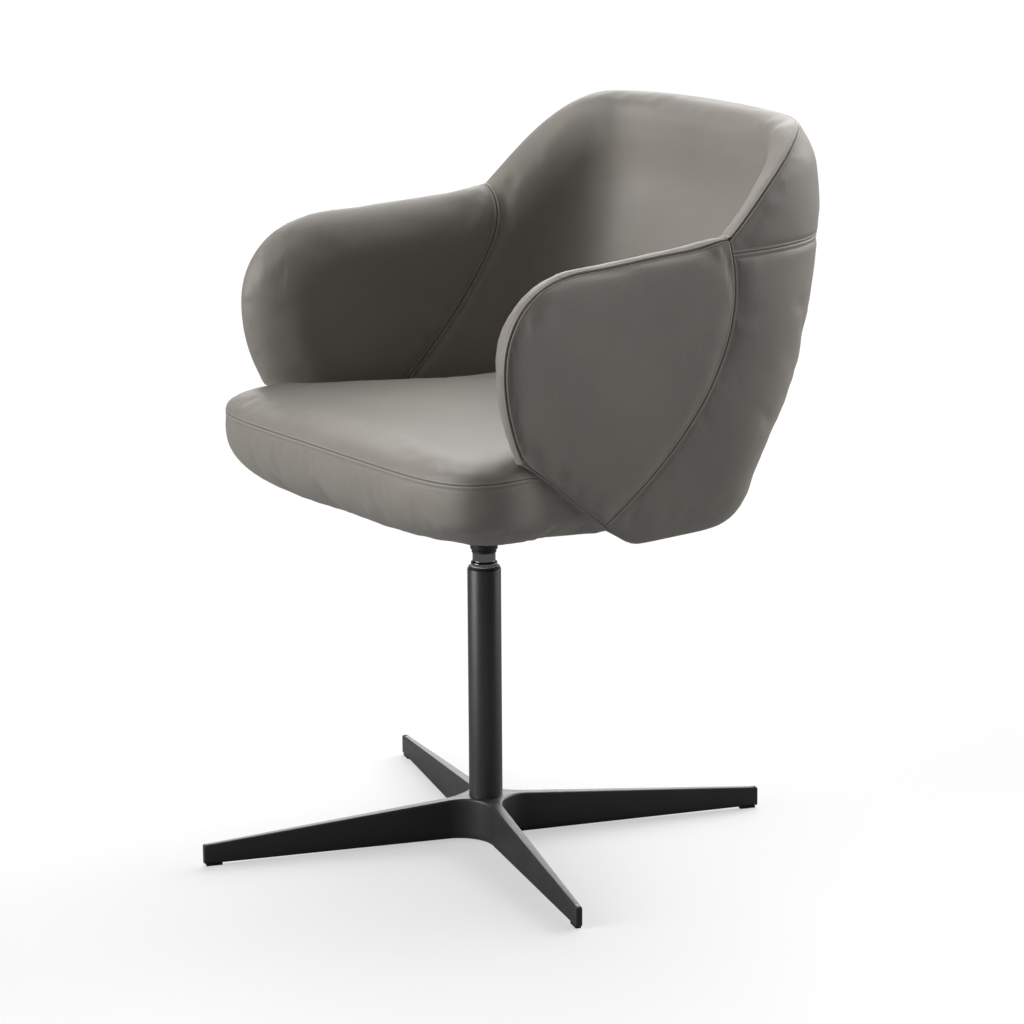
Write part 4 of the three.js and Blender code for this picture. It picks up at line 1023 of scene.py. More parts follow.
def coat_group():
    """Fine orange peel of a powder coat, with slightly worn, paler patches."""
    if "Powder coat" in bpy.data.node_groups:
        return bpy.data.node_groups["Powder coat"]
    tree, given = new_group("Powder coat", {
        "Vector": "Vector", "Colour": "Color", "Worn": "Color",
        "Rough low": "Float", "Rough high": "Float"})
    patch = noise(tree, given["Vector"], 14.0, 5.0, 0.65)
    worn = math_node(tree, "MULTIPLY_ADD", patch, 2.2, -1.1)
    worn = add_node(tree, "ShaderNodeClamp", {0: worn}).outputs[0]
    spread = math_node(tree, "SUBTRACT", given["Rough high"], given["Rough low"])
    rough = math_node(tree, "MULTIPLY_ADD", patch, spread, given["Rough low"])
    colour = mix_colour(tree, worn, given["Colour"], given["Worn"])
    return close_group(tree, colour, rough, noise(tree, given["Vector"], 650.0, 2.0))


def shade(value):
    """A display colour as the linear colour that a shader takes."""
    linear = [v / 12.92 if v <= 0.04045 else ((v + 0.055) / 1.055) ** 2.4 for v in value[:3]]
    return (*linear, 1.0)


def scaled(value, factor):
    return tuple(min(v * factor, 1.0) for v in value[:3])


def new_material(name, specular, metallic=0.0, sheen=0.0):
    """A material, its node tree, its surface node and its place on the object."""
    material = bpy.data.materials.new(name)
    material.use_nodes = True
    tree = material.node_tree
    surface = tree.nodes["Principled BSDF"]
    given = {"Metallic": metallic, "Specular IOR Level": specular, "Sheen Weight": sheen,
             "IOR": 1.5}
    for key, value in given.items():
        surface.inputs[key].default_value = value
    return material, tree, surface, add_node(tree, "ShaderNodeTexCoord").outputs["Object"]


def connect(tree, surface, colour, rough, height, strength, distance):
    tree.links.new(colour, surface.inputs["Base Color"])
    tree.links.new(rough, surface.inputs["Roughness"])
    bump = add_node(tree, "ShaderNodeBump", {
        "Height": height, "Strength": strength, "Distance": distance})
    tree.links.new(bump.outputs[0], surface.inputs["Normal"])


def made_once(name):
    """Builds a material at the first call, and gives the same one at each later call."""
    def wrap(build):
        return lambda: bpy.data.materials.get(name) or build(name)
    return wrap


@made_once("Taupe leather")
def leather_material(name):
    finish = bpy.context.scene.armchair_finish
    colour = finish.leather_colour
    material, tree, surface, place = new_material(name, 0.42, sheen=0.06)
    distance = add_node(tree, "ShaderNodeAttribute", attribute_name="seam_distance").outputs["Fac"]
    # Pale and Dark tone the random mottling and the pores. They also give the painted highlight on
    # the hems and the painted shade in the seams' grooves.
    hide = add_node(tree, "ShaderNodeGroup", {
        "Vector": place, "Seam distance": distance, "Colour": shade(colour),
        "Pale": shade(scaled(colour, 1.2)), "Dark": shade(scaled(colour, 0.55)),
        "Grain size": finish.grain_size}, node_tree=leather_group())
    connect(tree, surface, *hide.outputs, 0.35, 0.0006)
    return material


def coat_material(slot):
    name, colour, worn, low, high, metallic, strength = COATS[slot]
    if name in bpy.data.materials:
        return bpy.data.materials[name]
    material, tree, surface, place = new_material(name, 0.5, metallic)
    coat = add_node(tree, "ShaderNodeGroup", {
        "Vector": place, "Colour": shade(colour), "Worn": shade(worn),
        "Rough low": low, "Rough high": high}, node_tree=coat_group())
    connect(tree, surface, *coat.outputs, strength, 0.0002)
    return material


def grained(name, specular, pattern, tones, rough, bump):
    """A material of two tones: a pattern gives the share of each, the roughness and the height."""
    material, tree, surface, place = new_material(name, specular)
    share, height = pattern(tree, place)
    colour = mix_colour(tree, share, *(shade(tone) for tone in tones))
    roughness = math_node(tree, "MULTIPLY_ADD", share, *rough)
    connect(tree, surface, colour, roughness, height, *bump)
    return material


@made_once("Underside cloth")
def cloth_material(name):
    def weave(tree, place):
        warp, weft = (add_node(tree, "ShaderNodeTexWave", {"Vector": place, "Scale": 130.0},
                               bands_direction=way).outputs["Fac"] for way in ("X", "Y"))
        return noise(tree, place, 240.0, 4.0), math_node(tree, "MAXIMUM", warp, weft)
    tones = (0.1, 0.1, 0.105), (0.2, 0.2, 0.21)
    return grained(name, 0.2, weave, tones, (0.1, 0.82), (0.4, 0.0003))


@made_once("Birch plywood")
def plywood_material(name):
    def grain(tree, place):
        stretched = add_node(tree, "ShaderNodeMapping", {
            "Vector": place, "Scale": (4.0, 40.0, 40.0)}).outputs[0]
        return [noise(tree, stretched, 3.0, 6.0)] * 2
    tones = (0.62, 0.47, 0.3), (0.83, 0.69, 0.48)
    return grained(name, 0.3, grain, tones, (0.2, 0.5), (0.2, 0.0003))


@made_once("Moulded foam")
def foam_material(name):
    def cells(tree, place):
        bubbles = add_node(tree, "ShaderNodeTexVoronoi", {"Vector": place, "Scale": 700.0})
        return [bubbles.outputs["Distance"]] * 2
    tones = (0.78, 0.74, 0.62), (0.88, 0.85, 0.76)
    return grained(name, 0.2, cells, tones, (0.1, 0.85), (0.4, 0.0004))


@made_once("Thread")
def thread_material(name):
    base = bpy.context.scene.armchair_finish.leather_colour

    def fibres(tree, place):
        return [noise(tree, place, 1800.0, 2.0)] * 2
    tones = scaled(base, 0.85), scaled(base, 1.22)
    return grained(name, 0.4, fibres, tones, (0.2, 0.45), (0.3, 0.0001))


# Settings that a user would change


def length(name, description, default, least, most, precision=4):
    return FloatProperty(name=name, description=description, default=default, min=least, max=most,
                         precision=precision, unit="LENGTH", subtype="DISTANCE")


class ArmchairSizes(bpy.types.PropertyGroup):
    leather_thickness: length(
        "Leather thickness", "Thickness of every leather cover", 0.0014, 0.0005, 0.004)
    stitch_pitch: length(
        "Stitch pitch", "From one stitch to the next along a seam", 0.0046, 0.002, 0.02)
    thread_diameter: length(
        "Thread", "Diameter of the sewing thread", 0.00075, 0.0002, 0.003, 5)
    stitch_seed: IntProperty(
        name="Stitch seed", description="Another seed leans the stitches in other ways",
        default=4, min=0)
    leg_reach: length("Leg reach", "From the column's axis to a leg's tip", 0.33, 0.2, 0.5)
    leg_count: IntProperty(
        name="Legs", description="Number of legs of the star base", default=4, min=3, max=6)
    column_diameter: length(
        "Column diameter", "Outside diameter of the column tube", 0.038, 0.02, 0.08)


class ArmchairFinish(bpy.types.PropertyGroup):
    leather_colour: FloatVectorProperty(
        name="Leather colour", description="Colour of the hide", default=(0.53, 0.511, 0.484),
        size=3, min=0, max=1, subtype="COLOR_GAMMA")
    grain_size: length(
        "Grain size", "Width of one cell of the leather's grain", 0.0011, 0.0003, 0.005)


# Padding: closed forms under the covers, swollen as cloth that is held along its seams


def seat_pad_rings():
    turns = seat_turns(PAD_COUNT)
    crown = [seat_crown_points(turns, np.full_like(turns, share))
             for share in np.linspace(1, 0, 26)[1:]]
    border = [seat_border_points(turns, np.full_like(turns, drop))
              for drop in np.linspace(0, 1, 14)[1:]]
    hem = border[-1]
    under = [hem * (share, share, 1) for share in (0.75, 0.5, 0.25)]
    return [pressed(tucked(ring)) for ring in (*crown, *border, *under)]


def tub_pad_rings():
    """Closed sections of the tub, from the arm's nose round the back to the other nose."""
    runs = np.concatenate([FOOT_RUNS[4::5], np.linspace(FOOT_RUNS[-1], FULL_RUN, 90)[1:]])
    station = station_of(runs)
    low, high, floor = lower_edge(station), rim_height(station), inner_floor(station)
    shares = cosine(np.linspace(0, 1, 30))
    outside = [tub_surface(runs, mix(low, high, share), False) for share in shares]
    inside = [tub_surface(runs, mix(floor, high, share), True) for share in shares[-2::-1]]
    return both_sides(np.stack([*outside, *inside], 1))


def closed_pad(name, rings):
    """A closed body from rings, with its two end rings filled, remeshed to even cells."""
    columns = len(rings[0])
    faces = grid_faces(len(rings), columns, closed=True).tolist()
    points = np.concatenate(rings)
    ends, last = len(points), len(points) - columns
    for k in range(columns):
        faces.append((ends, k, (k + 1) % columns))
        faces.append((ends + 1, last + (k + 1) % columns, last + k))
    piece = mesh_from(name, np.concatenate([points, [rings[0].mean(0), rings[-1].mean(0)]]), faces)
    weld(piece, 0.0001, closed=True)
    cells = piece.modifiers.new("Even cells", "REMESH")
    cells.mode = "VOXEL"
    cells.voxel_size = PAD_CELL
    piece.data = baked(piece)
    piece.modifiers.clear()
    return piece


def baked(piece):
    """The mesh that a piece's modifiers make."""
    bpy.context.view_layer.update()
    shown = piece.evaluated_get(bpy.context.evaluated_depsgraph_get())
    return bpy.data.meshes.new_from_object(shown)


def vectors_of(mesh, key="co"):
    values = np.empty(len(mesh.vertices) * 3)
    mesh.vertices.foreach_get(key, values)
    return values.reshape(-1, 3)


def swell(piece, seams, held):
    """How far each point moves when the padding swells as cloth pinned along its seams."""
    before = vectors_of(piece.data)
    least = np.min([nearest(before / MM, path)[0] for path in seams], axis=0)
    pins = piece.vertex_groups.new(name="pinned")
    pinned = np.nonzero((least < PIN_REACH) | (before[:, 2] / MM < held))[0]
    pins.add(pinned.tolist(), 1.0, "REPLACE")
    cloth = piece.modifiers.new("Padding under pressure", "CLOTH")
    for key, value in CLOTH.items():
        setattr(cloth.settings, key, value)
    cloth.settings.effector_weights.gravity = 0
    cloth.collision_settings.use_collision = False
    cloth.point_cache.frame_start = 1
    cloth.point_cache.frame_end = SIM_FRAMES
    scene = bpy.context.scene
    for frame_number in range(1, SIM_FRAMES + 1):
        scene.frame_set(frame_number)
    shown = piece.evaluated_get(bpy.context.evaluated_depsgraph_get())
    moved = vectors_of(shown.to_mesh()) - before
    shown.to_mesh_clear()
    piece.modifiers.clear()
    scene.frame_set(1)
    reach = np.linalg.norm(moved, axis=1, keepdims=True)
    return moved * np.tanh(reach / PAD_MOST) * PAD_MOST / np.maximum(reach, 1e-9)


SWELLING = {}


def passed_on(points, node):
    """How the padding under each point of a cover has moved, in millimetres."""
    before, moved = SWELLING[node]
    tree = KDTree(len(before))
    for index, place in enumerate(before):
        tree.insert(place, index)
    tree.balance()
    out = np.zeros_like(points)
    for row, point in enumerate(points * MM):
        found = tree.find_n(point, FOLLOW_POINTS)
        weights = np.array([1 / (gap + FOLLOW_BLUR) ** 2 for _, _, gap in found])
        steps = moved[[index for _, index, _ in found]]
        out[row] = (steps * weights[:, None]).sum(0) / weights.sum()
    return out / MM


class ARMCHAIR_OT_padding(bpy.types.Operator):
    """Foam of the seat and of the tub, swollen under its covers"""

    bl_idname = "armchair.padding"
    bl_label = "Padding"

    def execute(self, context):
        level = level_line(run_at(JUNCTION_REACH + 8, BACK_SEAM_HEIGHT), 60)
        tub_seams = [
            rim_curve()[::4], tub_surface(*OUTER_SEAM_LINE.T, False)[::6],
            tub_surface(*level.T, False), tub_surface(*INNER_SEAM_LINE.T, True)[::6],
            edge_curve(np.linspace(0, FULL_RUN, 150)),
        ]
        tub_seams += [mirrored(path) for path in tub_seams]
        for name, rings, node, seams, held in (
                ("seat_pad", seat_pad_rings(), "seat_foam", [seat_seam(PAD_COUNT)], SEAT_HELD),
                ("tub_pad", tub_pad_rings(), "shell_foam", tub_seams, TUB_HELD)):
            piece = closed_pad(name, rings)
            before = vectors_of(piece.data)
            moved = swell(piece, seams, held)
            SWELLING[node] = (before, moved)
            shown = before + moved - vectors_of(piece.data, "normal") * PAD_INSET
            piece.data.vertices.foreach_set("co", shown.ravel())
            piece.data.update()
            dress(piece, "seat", "foam", foam_material(), node)
        return {"FINISHED"}


class ARMCHAIR_OT_settle_padding(bpy.types.Operator):
    """Draws the padding in wherever it would stand too close under the face of a finished cover"""

    bl_idname = "armchair.settle_padding"
    bl_label = "Settle padding"

    def execute(self, context):
        depth = COVER_GAP * MM
        covers = [piece for piece in context.scene.objects if piece.name.endswith("_leather")]
        for name in ("seat_pad", "tub_pad"):
            corners, faces = [], []
            for piece in covers:
                if piece.name.startswith("seat_") == (name == "seat_pad"):
                    start = len(corners)
                    corners += [tuple(vertex.co) for vertex in piece.data.vertices]
                    faces += [tuple(start + k for k in face.vertices)
                              for face in piece.data.polygons]
            tree = BVHTree.FromPolygons(corners, faces)
            mesh = bpy.data.objects[name].data
            for vertex in mesh.vertices:
                for _ in range(3):
                    spot, normal, _, _ = tree.find_nearest(vertex.co, PAD_SEARCH)
                    over = -1 if spot is None else (vertex.co - spot).dot(normal)
                    if over < -depth:
                        break
                    vertex.co -= normal * (over + depth * 1.1)
            mesh.update()
        return {"FINISHED"}


# Covers


class ARMCHAIR_OT_arm_covers(bpy.types.Operator):
    """Outer and inner leather covers of both arms"""

    bl_idname = "armchair.arm_covers"
    bl_label = "Arm covers"

    def execute(self, context):
        rows = crowded(ARM_SPAN)
        outer = tub_surface(*arm_patch(OUTER_SEAM_LINE, rows), False)
        inner = tub_surface(*arm_patch(INNER_SEAM_LINE, cosine(rows)), True)
        side = seam_on_wall(OUTER_SEAM_LINE, False, SIDE_SEAM)
        inside = seam_on_wall(INNER_SEAM_LINE, True, INSIDE_SEAM)
        parts = (("outer", outer, [edge_seam(False), side], False),
                 ("inner", inner, [edge_seam(True), inside], True))
        for part, grid, seams, turned in parts:
            cover(f"left_arm_{part}", grid, seams, "shell_foam", 0.75, turned)
        for part, grid, seams, turned in parts:
            seams = [seam.changed(mirrored) for seam in seams]
            cover(f"right_arm_{part}", mirrored(grid), seams, "shell_foam", 0.75, not turned)
        return {"FINISHED"}


class ARMCHAIR_OT_back_covers(bpy.types.Operator):
    """Inner cover of the back, and its upper and lower outer covers"""

    bl_idname = "armchair.back_covers"
    bl_label = "Back covers"

    def execute(self, context):
        def at_stations(height):
            return lambda runs: height(station_of(runs))

        def level(runs):
            return np.full_like(runs, BACK_SEAM_HEIGHT)

        low, floor, rim = (at_stations(line) for line in (lower_edge, inner_floor, rim_height))
        below = part_of(OUTER_SEAM_LINE, OUTER_SEAM_LINE[0, 1], BACK_SEAM_HEIGHT)
        above = part_of(OUTER_SEAM_LINE, BACK_SEAM_HEIGHT, OUTER_SEAM_LINE[-1, 1])
        across = level_line(below[-1, 0], 400)
        for name, line, bottom, top, rows, style, level_style in (
                ("inner", INNER_SEAM_LINE, floor, rim, cosine(crowded(BACK_SPAN)),
                 INSIDE_SEAM, None),
                ("outer_upper", above, level, rim, crowded(UPPER_SPAN), SIDE_SEAM, LEVEL_ABOVE),
                ("outer_lower", below, low, level, crowded(BACK_SPAN), SIDE_SEAM, LEVEL_BELOW)):
            inner = name == "inner"
            seams = [whole(edge_seam(inner))]
            if level_style:
                seams.append(whole(seam_on_wall(across, False, level_style)))
            side = seam_on_wall(line, inner, style)
            seams += [side, side.changed(mirrored)]
            grid = both_sides(tub_surface(*back_patch(line, bottom, top, rows), inner))
            cover(f"back_{name}", grid, seams, "shell_foam", 0.75, inner)
        return {"FINISHED"}


class ARMCHAIR_OT_tub_band(bpy.types.Operator):
    """Leather band that closes the tub's lower edge, from the outer wall in to the seat"""

    bl_idname = "armchair.tub_band"
    bl_label = "Tub band"

    def execute(self, context):
        runs = np.linspace(FOOT_RUNS[-1], FULL_RUN, 130)
        station = station_of(runs)
        outside = edge_curve(runs)
        floor = np.maximum(inner_floor(station), lower_edge(station) + 0.01)
        inside = tub_surface(runs, floor, True)
        shares = crowded(BAND_SPAN, BAND_STEP, end=False)
        grid = both_sides(mix(outside[:, None, :], inside[:, None, :], shares[None, :, None]))
        cover("tub_band", grid, [whole(band_seam())], "shell_foam", turned=True, softness=0.3)
        return {"FINISHED"}


class ARMCHAIR_OT_seat_cushion(bpy.types.Operator):
    """Top and border covers of the seat cushion"""

    bl_idname = "armchair.seat_cushion"
    bl_label = "Seat cushion"

    def execute(self, context):
        turns, seam = seat_turns(SEAT_COUNT)[None, :], seat_seam(SEAT_COUNT)
        top = seat_crown_points(turns, seat_shares()[:, None])
        border = seat_border_points(turns, crowded(BORDER_SPAN, end=False)[:, None])
        for name, grid, style, turned in (("seat_top", top, SEAT_TOP_SEAM, True),
                                          ("seat_border", border, SEAT_BORDER_SEAM, False)):
            cover(name, grid, [Seam(seam, **style)], "seat_foam", 0.85, turned, closed=True)
        return {"FINISHED"}


# Stitches


def stitch_plan():
    """Which pieces carry a row of stitches, and beside which seam: (piece, path of the seam)."""
    rim, foot = rim_curve(), edge_curve(FOOT_RUNS)[::-1]
    inner_seam = tub_surface(*INNER_SEAM_LINE.T, True)
    level = tub_surface(*level_line(OUTER_SEAM_LINE[:, 0].max(), 200).T, False)
    on_arm = RIM_RUNS < run_at(*OUTER_SEAM[0])
    plan = [("seat_border_leather", seat_seam(SEAT_COUNT))]
    for side, name in ((1, "left"), (-1, "right")):
        plan += [(f"{piece}_leather", path * (side, 1, 1)) for piece, path in (
            (f"{name}_arm_outer", np.concatenate([foot, rim[on_arm][1:]])),
            (f"{name}_arm_inner", np.concatenate([foot, rim[1:]])),
            (f"{name}_arm_inner", inner_seam),
            ("back_inner", rim[~on_arm]),
            ("back_inner", inner_seam),
            ("back_outer_upper", rim[~on_arm]),
            ("back_outer_lower", level),
        )]
    return plan


def evenly(path, step):
    length = np.concatenate([[0], np.cumsum(np.linalg.norm(np.diff(path, axis=0), axis=1))])
    places = np.linspace(0, length[-1], max(int(length[-1] / step), 2))
    return np.stack([np.interp(places, length, path[:, k]) for k in range(3)], -1)


def stitch_lines(piece, path):
    """Lines on a cover beside one of its seams, broken where the cover ends."""
    mesh = piece.data
    faces = [tuple(face.vertices) for face in mesh.polygons]
    tree = BVHTree.FromPolygons(vectors_of(mesh).tolist(), faces)
    path = evenly(path, STITCH_STEP) * MM
    offset = STITCH_OFFSET * MM
    sides = {1: [], -1: []}
    for point, way in zip(path, unit(np.gradient(path, axis=0))):
        _, normal, _, _ = tree.find_nearest(point)
        for sign, found in sides.items():
            across = np.cross(way, normal) * sign
            for _ in range(4):
                spot = np.array(tree.find_nearest(point + across * offset)[0])
                across = spot - point
                across -= way * across.dot(way)
                reach = np.linalg.norm(across)
                across /= max(reach, 1e-9)
            found.append((spot, abs(reach - offset)))
    best = min(sides.values(), key=lambda found: sum(min(gap, offset) for _, gap in found))
    lines = [[]]
    for spot, gap in best:
        if gap < offset * STITCH_SLACK:
            lines[-1].append(tuple(spot))
        elif lines[-1]:
            lines.append([])
    return [line for line in lines if len(line) > 3]


def stitch_nodes():
    """Lays a stitch at even steps along every line of the mesh that it is given."""
    tree = bpy.data.node_groups.new("Stitches", "GeometryNodeTree")
    tree.is_modifier = True
    for label, kind, value in (
            ("Lines", "Geometry", None), ("Pitch", "Float", 0.0046),
            ("Stitch length", "Float", 0.0036), ("Thread", "Float", 0.00075),
            ("Unevenness", "Float", 0.12), ("Seed", "Int", 4), ("Material", "Material", None)):
        socket = tree.interface.new_socket(
            name=label, in_out="INPUT", socket_type=f"NodeSocket{kind}")
        if value is not None:
            socket.default_value = value
    tree.interface.new_socket(
        name="Stitches", in_out="OUTPUT", socket_type="NodeSocketGeometry")
    given = tree.nodes.new("NodeGroupInput").outputs
    curve = add_node(tree, "GeometryNodeMeshToCurve", {0: given["Lines"]})
    even = add_node(tree, "GeometryNodeResampleCurve", {
        "Curve": curve.outputs[0], "Length": given["Pitch"]}, mode="LENGTH")
    ball = add_node(tree, "GeometryNodeMeshUVSphere", {"Segments": 6, "Rings": 5, "Radius": 0.5})
    size = add_node(tree, "ShaderNodeCombineXYZ", {
        "X": given["Thread"], "Y": given["Thread"], "Z": given["Stitch length"]})
    shaped = add_node(tree, "GeometryNodeTransform", {
        "Geometry": ball.outputs[0], "Scale": size.outputs[0]})
    tangent = add_node(tree, "GeometryNodeInputTangent")
    jitter = add_node(tree, "FunctionNodeRandomValue", {
        0: math_node(tree, "MULTIPLY", given["Unevenness"], -1.0), 1: given["Unevenness"],
        "Seed": given["Seed"]}, data_type="FLOAT_VECTOR")
    leaning = add_node(tree, "ShaderNodeVectorMath", {
        0: tangent.outputs[0], 1: jitter.outputs[0]}, operation="ADD")
    turn = add_node(tree, "FunctionNodeAlignRotationToVector", {
        "Vector": leaning.outputs[0]}, axis="Z")
    placed = add_node(tree, "GeometryNodeInstanceOnPoints", {
        "Points": even.outputs[0], "Instance": shaped.outputs[0], "Rotation": turn.outputs[0]})
    real = add_node(tree, "GeometryNodeRealizeInstances", {0: placed.outputs[0]})
    smooth = add_node(tree, "GeometryNodeSetShadeSmooth", {0: real.outputs[0]})
    finish = add_node(tree, "GeometryNodeSetMaterial", {
        0: smooth.outputs[0], "Material": given["Material"]})
    return close_group(tree, finish.outputs[0])


class ARMCHAIR_OT_stitches(bpy.types.Operator):
    """Rows of stitches beside the seams of the tub and of the seat"""

    bl_idname = "armchair.stitches"
    bl_label = "Stitches"

    def execute(self, context):
        points, edges = [], []
        for name, path in stitch_plan():
            for line in stitch_lines(bpy.data.objects[name], path):
                start = len(points)
                points += line
                edges += [(k, k + 1) for k in range(start, len(points) - 1)]
        mesh = bpy.data.meshes.new("stitch_lines")
        mesh.from_pydata(points, edges, [])
        lines = bpy.data.objects.new("stitch_lines", mesh)
        context.scene.collection.objects.link(lines)
        rows = lines.modifiers.new("Stitches", "NODES")
        rows.node_group = stitch_nodes()
        sizes = context.scene.armchair_sizes
        values = {"Pitch": sizes.stitch_pitch, "Thread": sizes.thread_diameter,
                  "Seed": sizes.stitch_seed, "Material": thread_material()}
        for item in rows.node_group.interface.items_tree:
            if item.in_out == "INPUT" and item.name in values:
                rows[item.identifier] = values[item.name]
        stitched = baked(lines)
        rows.node_group = None
        bpy.data.objects.remove(lines)
        piece = bpy.data.objects.new("cover_stitches", stitched)
        context.scene.collection.objects.link(piece)
        if not piece.data.vertices:
            raise RuntimeError("No stitches were made")
        dress(piece, "seat", "taupe_leather", thread_material())
        return {"FINISHED"}


# Base


def leg_side(sizes):
    """One side of a leg from the root to the middle of its rounded tip, as (along, across)."""
    reach = sizes.leg_reach / MM - TIP_ROUND
    tip, root = LEG_TIP_WIDTH / 2, LEG_ROOT_WIDTH / 2
    centre = (HUB_RADIUS + LEG_FILLET) * math.sqrt(0.5)
    side = [(mix(centre, reach, t), mix(root, tip, t)) for t in np.linspace(0, 1, LEG_POINTS)]
    for angle in np.linspace(math.pi / 2, 0, 6)[1:]:
        along = reach + TIP_ROUND * math.cos(angle)
        side.append((along, tip - TIP_ROUND + TIP_ROUND * math.sin(angle)))
    return np.array(side)


def star_outline(sizes):
    """Plan of the star, leg by leg: out along one side, back along the other, then the corner."""
    side = leg_side(sizes)
    centre = (HUB_RADIUS + LEG_FILLET) * math.sqrt(0.5)
    angles = -math.pi / 2 * (1 + np.linspace(0, 1, HUB_POINTS + 2)[1:-1])
    corner = centre + LEG_FILLET * np.stack([np.cos(angles), np.sin(angles)], -1)
    leg = np.concatenate([side * (1, -1), side[::-1], corner])
    turns = LEG_TURN + np.arange(sizes.leg_count) * 2 * math.pi / sizes.leg_count
    return np.concatenate([
        leg @ np.array([(math.cos(t), math.sin(t)), (-math.sin(t), math.cos(t))]) for t in turns])


def star_casting(sizes):
    """The cast star: loops up its sides and over its rounded upper edge, closed below and above."""
    plan = star_outline(sizes)
    ahead, behind = np.roll(plan, -1, 0), np.roll(plan, 1, 0)
    along = unit(unit(ahead - plan) + unit(plan - behind))
    inward = np.stack([-along[:, 1], along[:, 0]], -1)
    slope = (HUB_HEIGHT - LEG_TIP_HEIGHT) / (sizes.leg_reach / MM - HUB_RADIUS)

    def top(points):
        return HUB_HEIGHT - slope * np.maximum(np.linalg.norm(points, axis=-1) - HUB_RADIUS, 0)

    loops = [raised(plan + inward * inset, GLIDE_HEIGHT + height)
             for inset, height in LOWER_EDGE]
    for share in HEIGHT_SHARES:
        loops.append(raised(plan, mix(GLIDE_HEIGHT, top(plan) - EDGE_ROUND, share)))
    for angle in np.linspace(0, math.pi / 2, 9):
        edge = plan + inward * EDGE_ROUND * (1 - math.cos(angle))
        loops.append(raised(edge, top(edge) - EDGE_ROUND * (1 - math.sin(angle))))
    count = len(plan)
    faces = grid_faces(len(loops), count, closed=True)[:, ::-1].tolist()
    middle = len(loops) * count
    points = np.concatenate([*loops, [(0, 0, GLIDE_HEIGHT), (0, 0, HUB_HEIGHT)]])
    for start, centre, turn in ((0, middle, -1), (middle - count, middle + 1, 1)):
        faces += [face[::turn] for face in star_cap(sizes, start, centre)]
    return mesh_from("star_base_casting", points, faces)


def star_cap(sizes, start, centre):
    """Faces that close one end of the casting: a strip along each leg, and a fan over the hub."""
    side = len(leg_side(sizes))
    leg = 2 * side + HUB_POINTS
    faces = []
    for index in range(sizes.leg_count):
        low = start + index * leg
        far = low + 2 * side - 1
        faces += [(low + k, low + k + 1, far - k - 1, far - k) for k in range(side - 1)]
        after = start + ((index + 1) * leg) % (leg * sizes.leg_count)
        hub = [far + k for k in range(HUB_POINTS + 1)] + [after]
        faces += [(a, b, centre) for a, b in zip(hub, hub[1:])]
        faces.append((low, far, centre))
    return faces


class ARMCHAIR_OT_star_base(bpy.types.Operator):
    """Cast star base with four tapering legs and rounded upper edges"""

    bl_idname = "armchair.star_base"
    bl_label = "Star base"

    def execute(self, context):
        piece = star_casting(context.scene.armchair_sizes)
        dress(piece, "base", "black_coat", coat_material("black_coat"), "star_base")
        return {"FINISHED"}


def turned_piece(name, body, slot, node, profile, segments=96):
    """A piece turned about the column's axis, from a closed profile of (radius, height)."""
    angles = np.linspace(0, 2 * math.pi, segments + 1)[:-1]
    circle = np.stack([np.cos(angles), np.sin(angles)], -1)
    rows = [raised(circle * radius, float(height)) for radius, height in (*profile, profile[0])]
    piece = mesh_from(name, np.concatenate(rows), grid_faces(len(rows), segments, closed=True))
    weld(piece, 0.000001, closed=True)
    bevel = piece.modifiers.new("Softened edges", "BEVEL")
    bevel.width = BEVEL_WIDTH
    bevel.segments = 3
    bevel.angle_limit = math.radians(BEVEL_ANGLE)
    bevel.harden_normals = True
    dress(piece, body, slot, coat_material(slot), node)


class ARMCHAIR_OT_column(bpy.types.Operator):
    """Column tube with its bush flange and thrust washer"""

    bl_idname = "armchair.column"
    bl_label = "Column"

    def execute(self, context):
        outer = context.scene.armchair_sizes.column_diameter / MM / 2
        tube = [(outer - inset, height) for inset, height in TUBE_PROFILE]
        turned_piece("column_tube_piece", "base", "column_coat", "column_tube", tube)
        turned_piece("bush_flange_piece", "base", "black_nylon", "upper_bush", BUSH_PROFILE)
        turned_piece("thrust_washer_piece", "base", "white_acetal", "thrust_washer", WASHER_PROFILE)
        return {"FINISHED"}


class ARMCHAIR_OT_spindle(bpy.types.Operator):
    """Polished spindle and the nylon collar over it"""

    bl_idname = "armchair.spindle"
    bl_label = "Spindle and collar"

    def execute(self, context):
        turned_piece("spindle_piece", "seat", "dark_chrome", "spindle", SPINDLE_PROFILE)
        turned_piece("collar_piece", "seat", "black_nylon", "collar", COLLAR_PROFILE)
        return {"FINISHED"}


def numbered(name, count):
    return [f"{name}_{k + 1}" for k in range(count)]


class ARMCHAIR_OT_kept_pieces(bpy.types.Operator):
    """Finishes of the pieces that keep the frame's own shape"""

    bl_idname = "armchair.kept_pieces"
    bl_label = "Kept pieces"

    def execute(self, context):
        steel = ("column_plug", "column_bolt", "bolt_washer", "spindle_circlip",
                 *numbered("plate_screw", 4), *numbered("tee_nut", 4),
                 *numbered("frame_screw", 3))
        for material, names in (
                (coat_material("zinc_steel"), steel),
                (coat_material("black_nylon"), (*numbered("glide", 4), "hub_cap", "lower_bush")),
                (coat_material("black_coat"), ("seat_plate", "shell_frame")),
                (plywood_material(), ("seat_pan",)),
                (cloth_material(), ("underside_cover",))):
            for name in names:
                node = frame["nodes"][name]
                node.data.materials.clear()
                node.data.materials.append(material)
        return {"FINISHED"}


# Studio


def make_camera(scene):
    data = bpy.data.cameras.new("Camera")
    data.lens = CAMERA_LENS
    data.sensor_width = CAMERA_SENSOR
    camera = bpy.data.objects.new("Camera", data)
    camera.matrix_world = Matrix.Translation(CAMERA_PLACE)
    for angle, axis in ((CAMERA_TURN, "Z"), (90 - CAMERA_DROP, "X"), (CAMERA_ROLL, "Z")):
        camera.matrix_world = camera.matrix_world @ Matrix.Rotation(math.radians(angle), 4, axis)
    scene.collection.objects.link(camera)
    scene.camera = camera


def grey(value):
    return (value, value, value, 1)


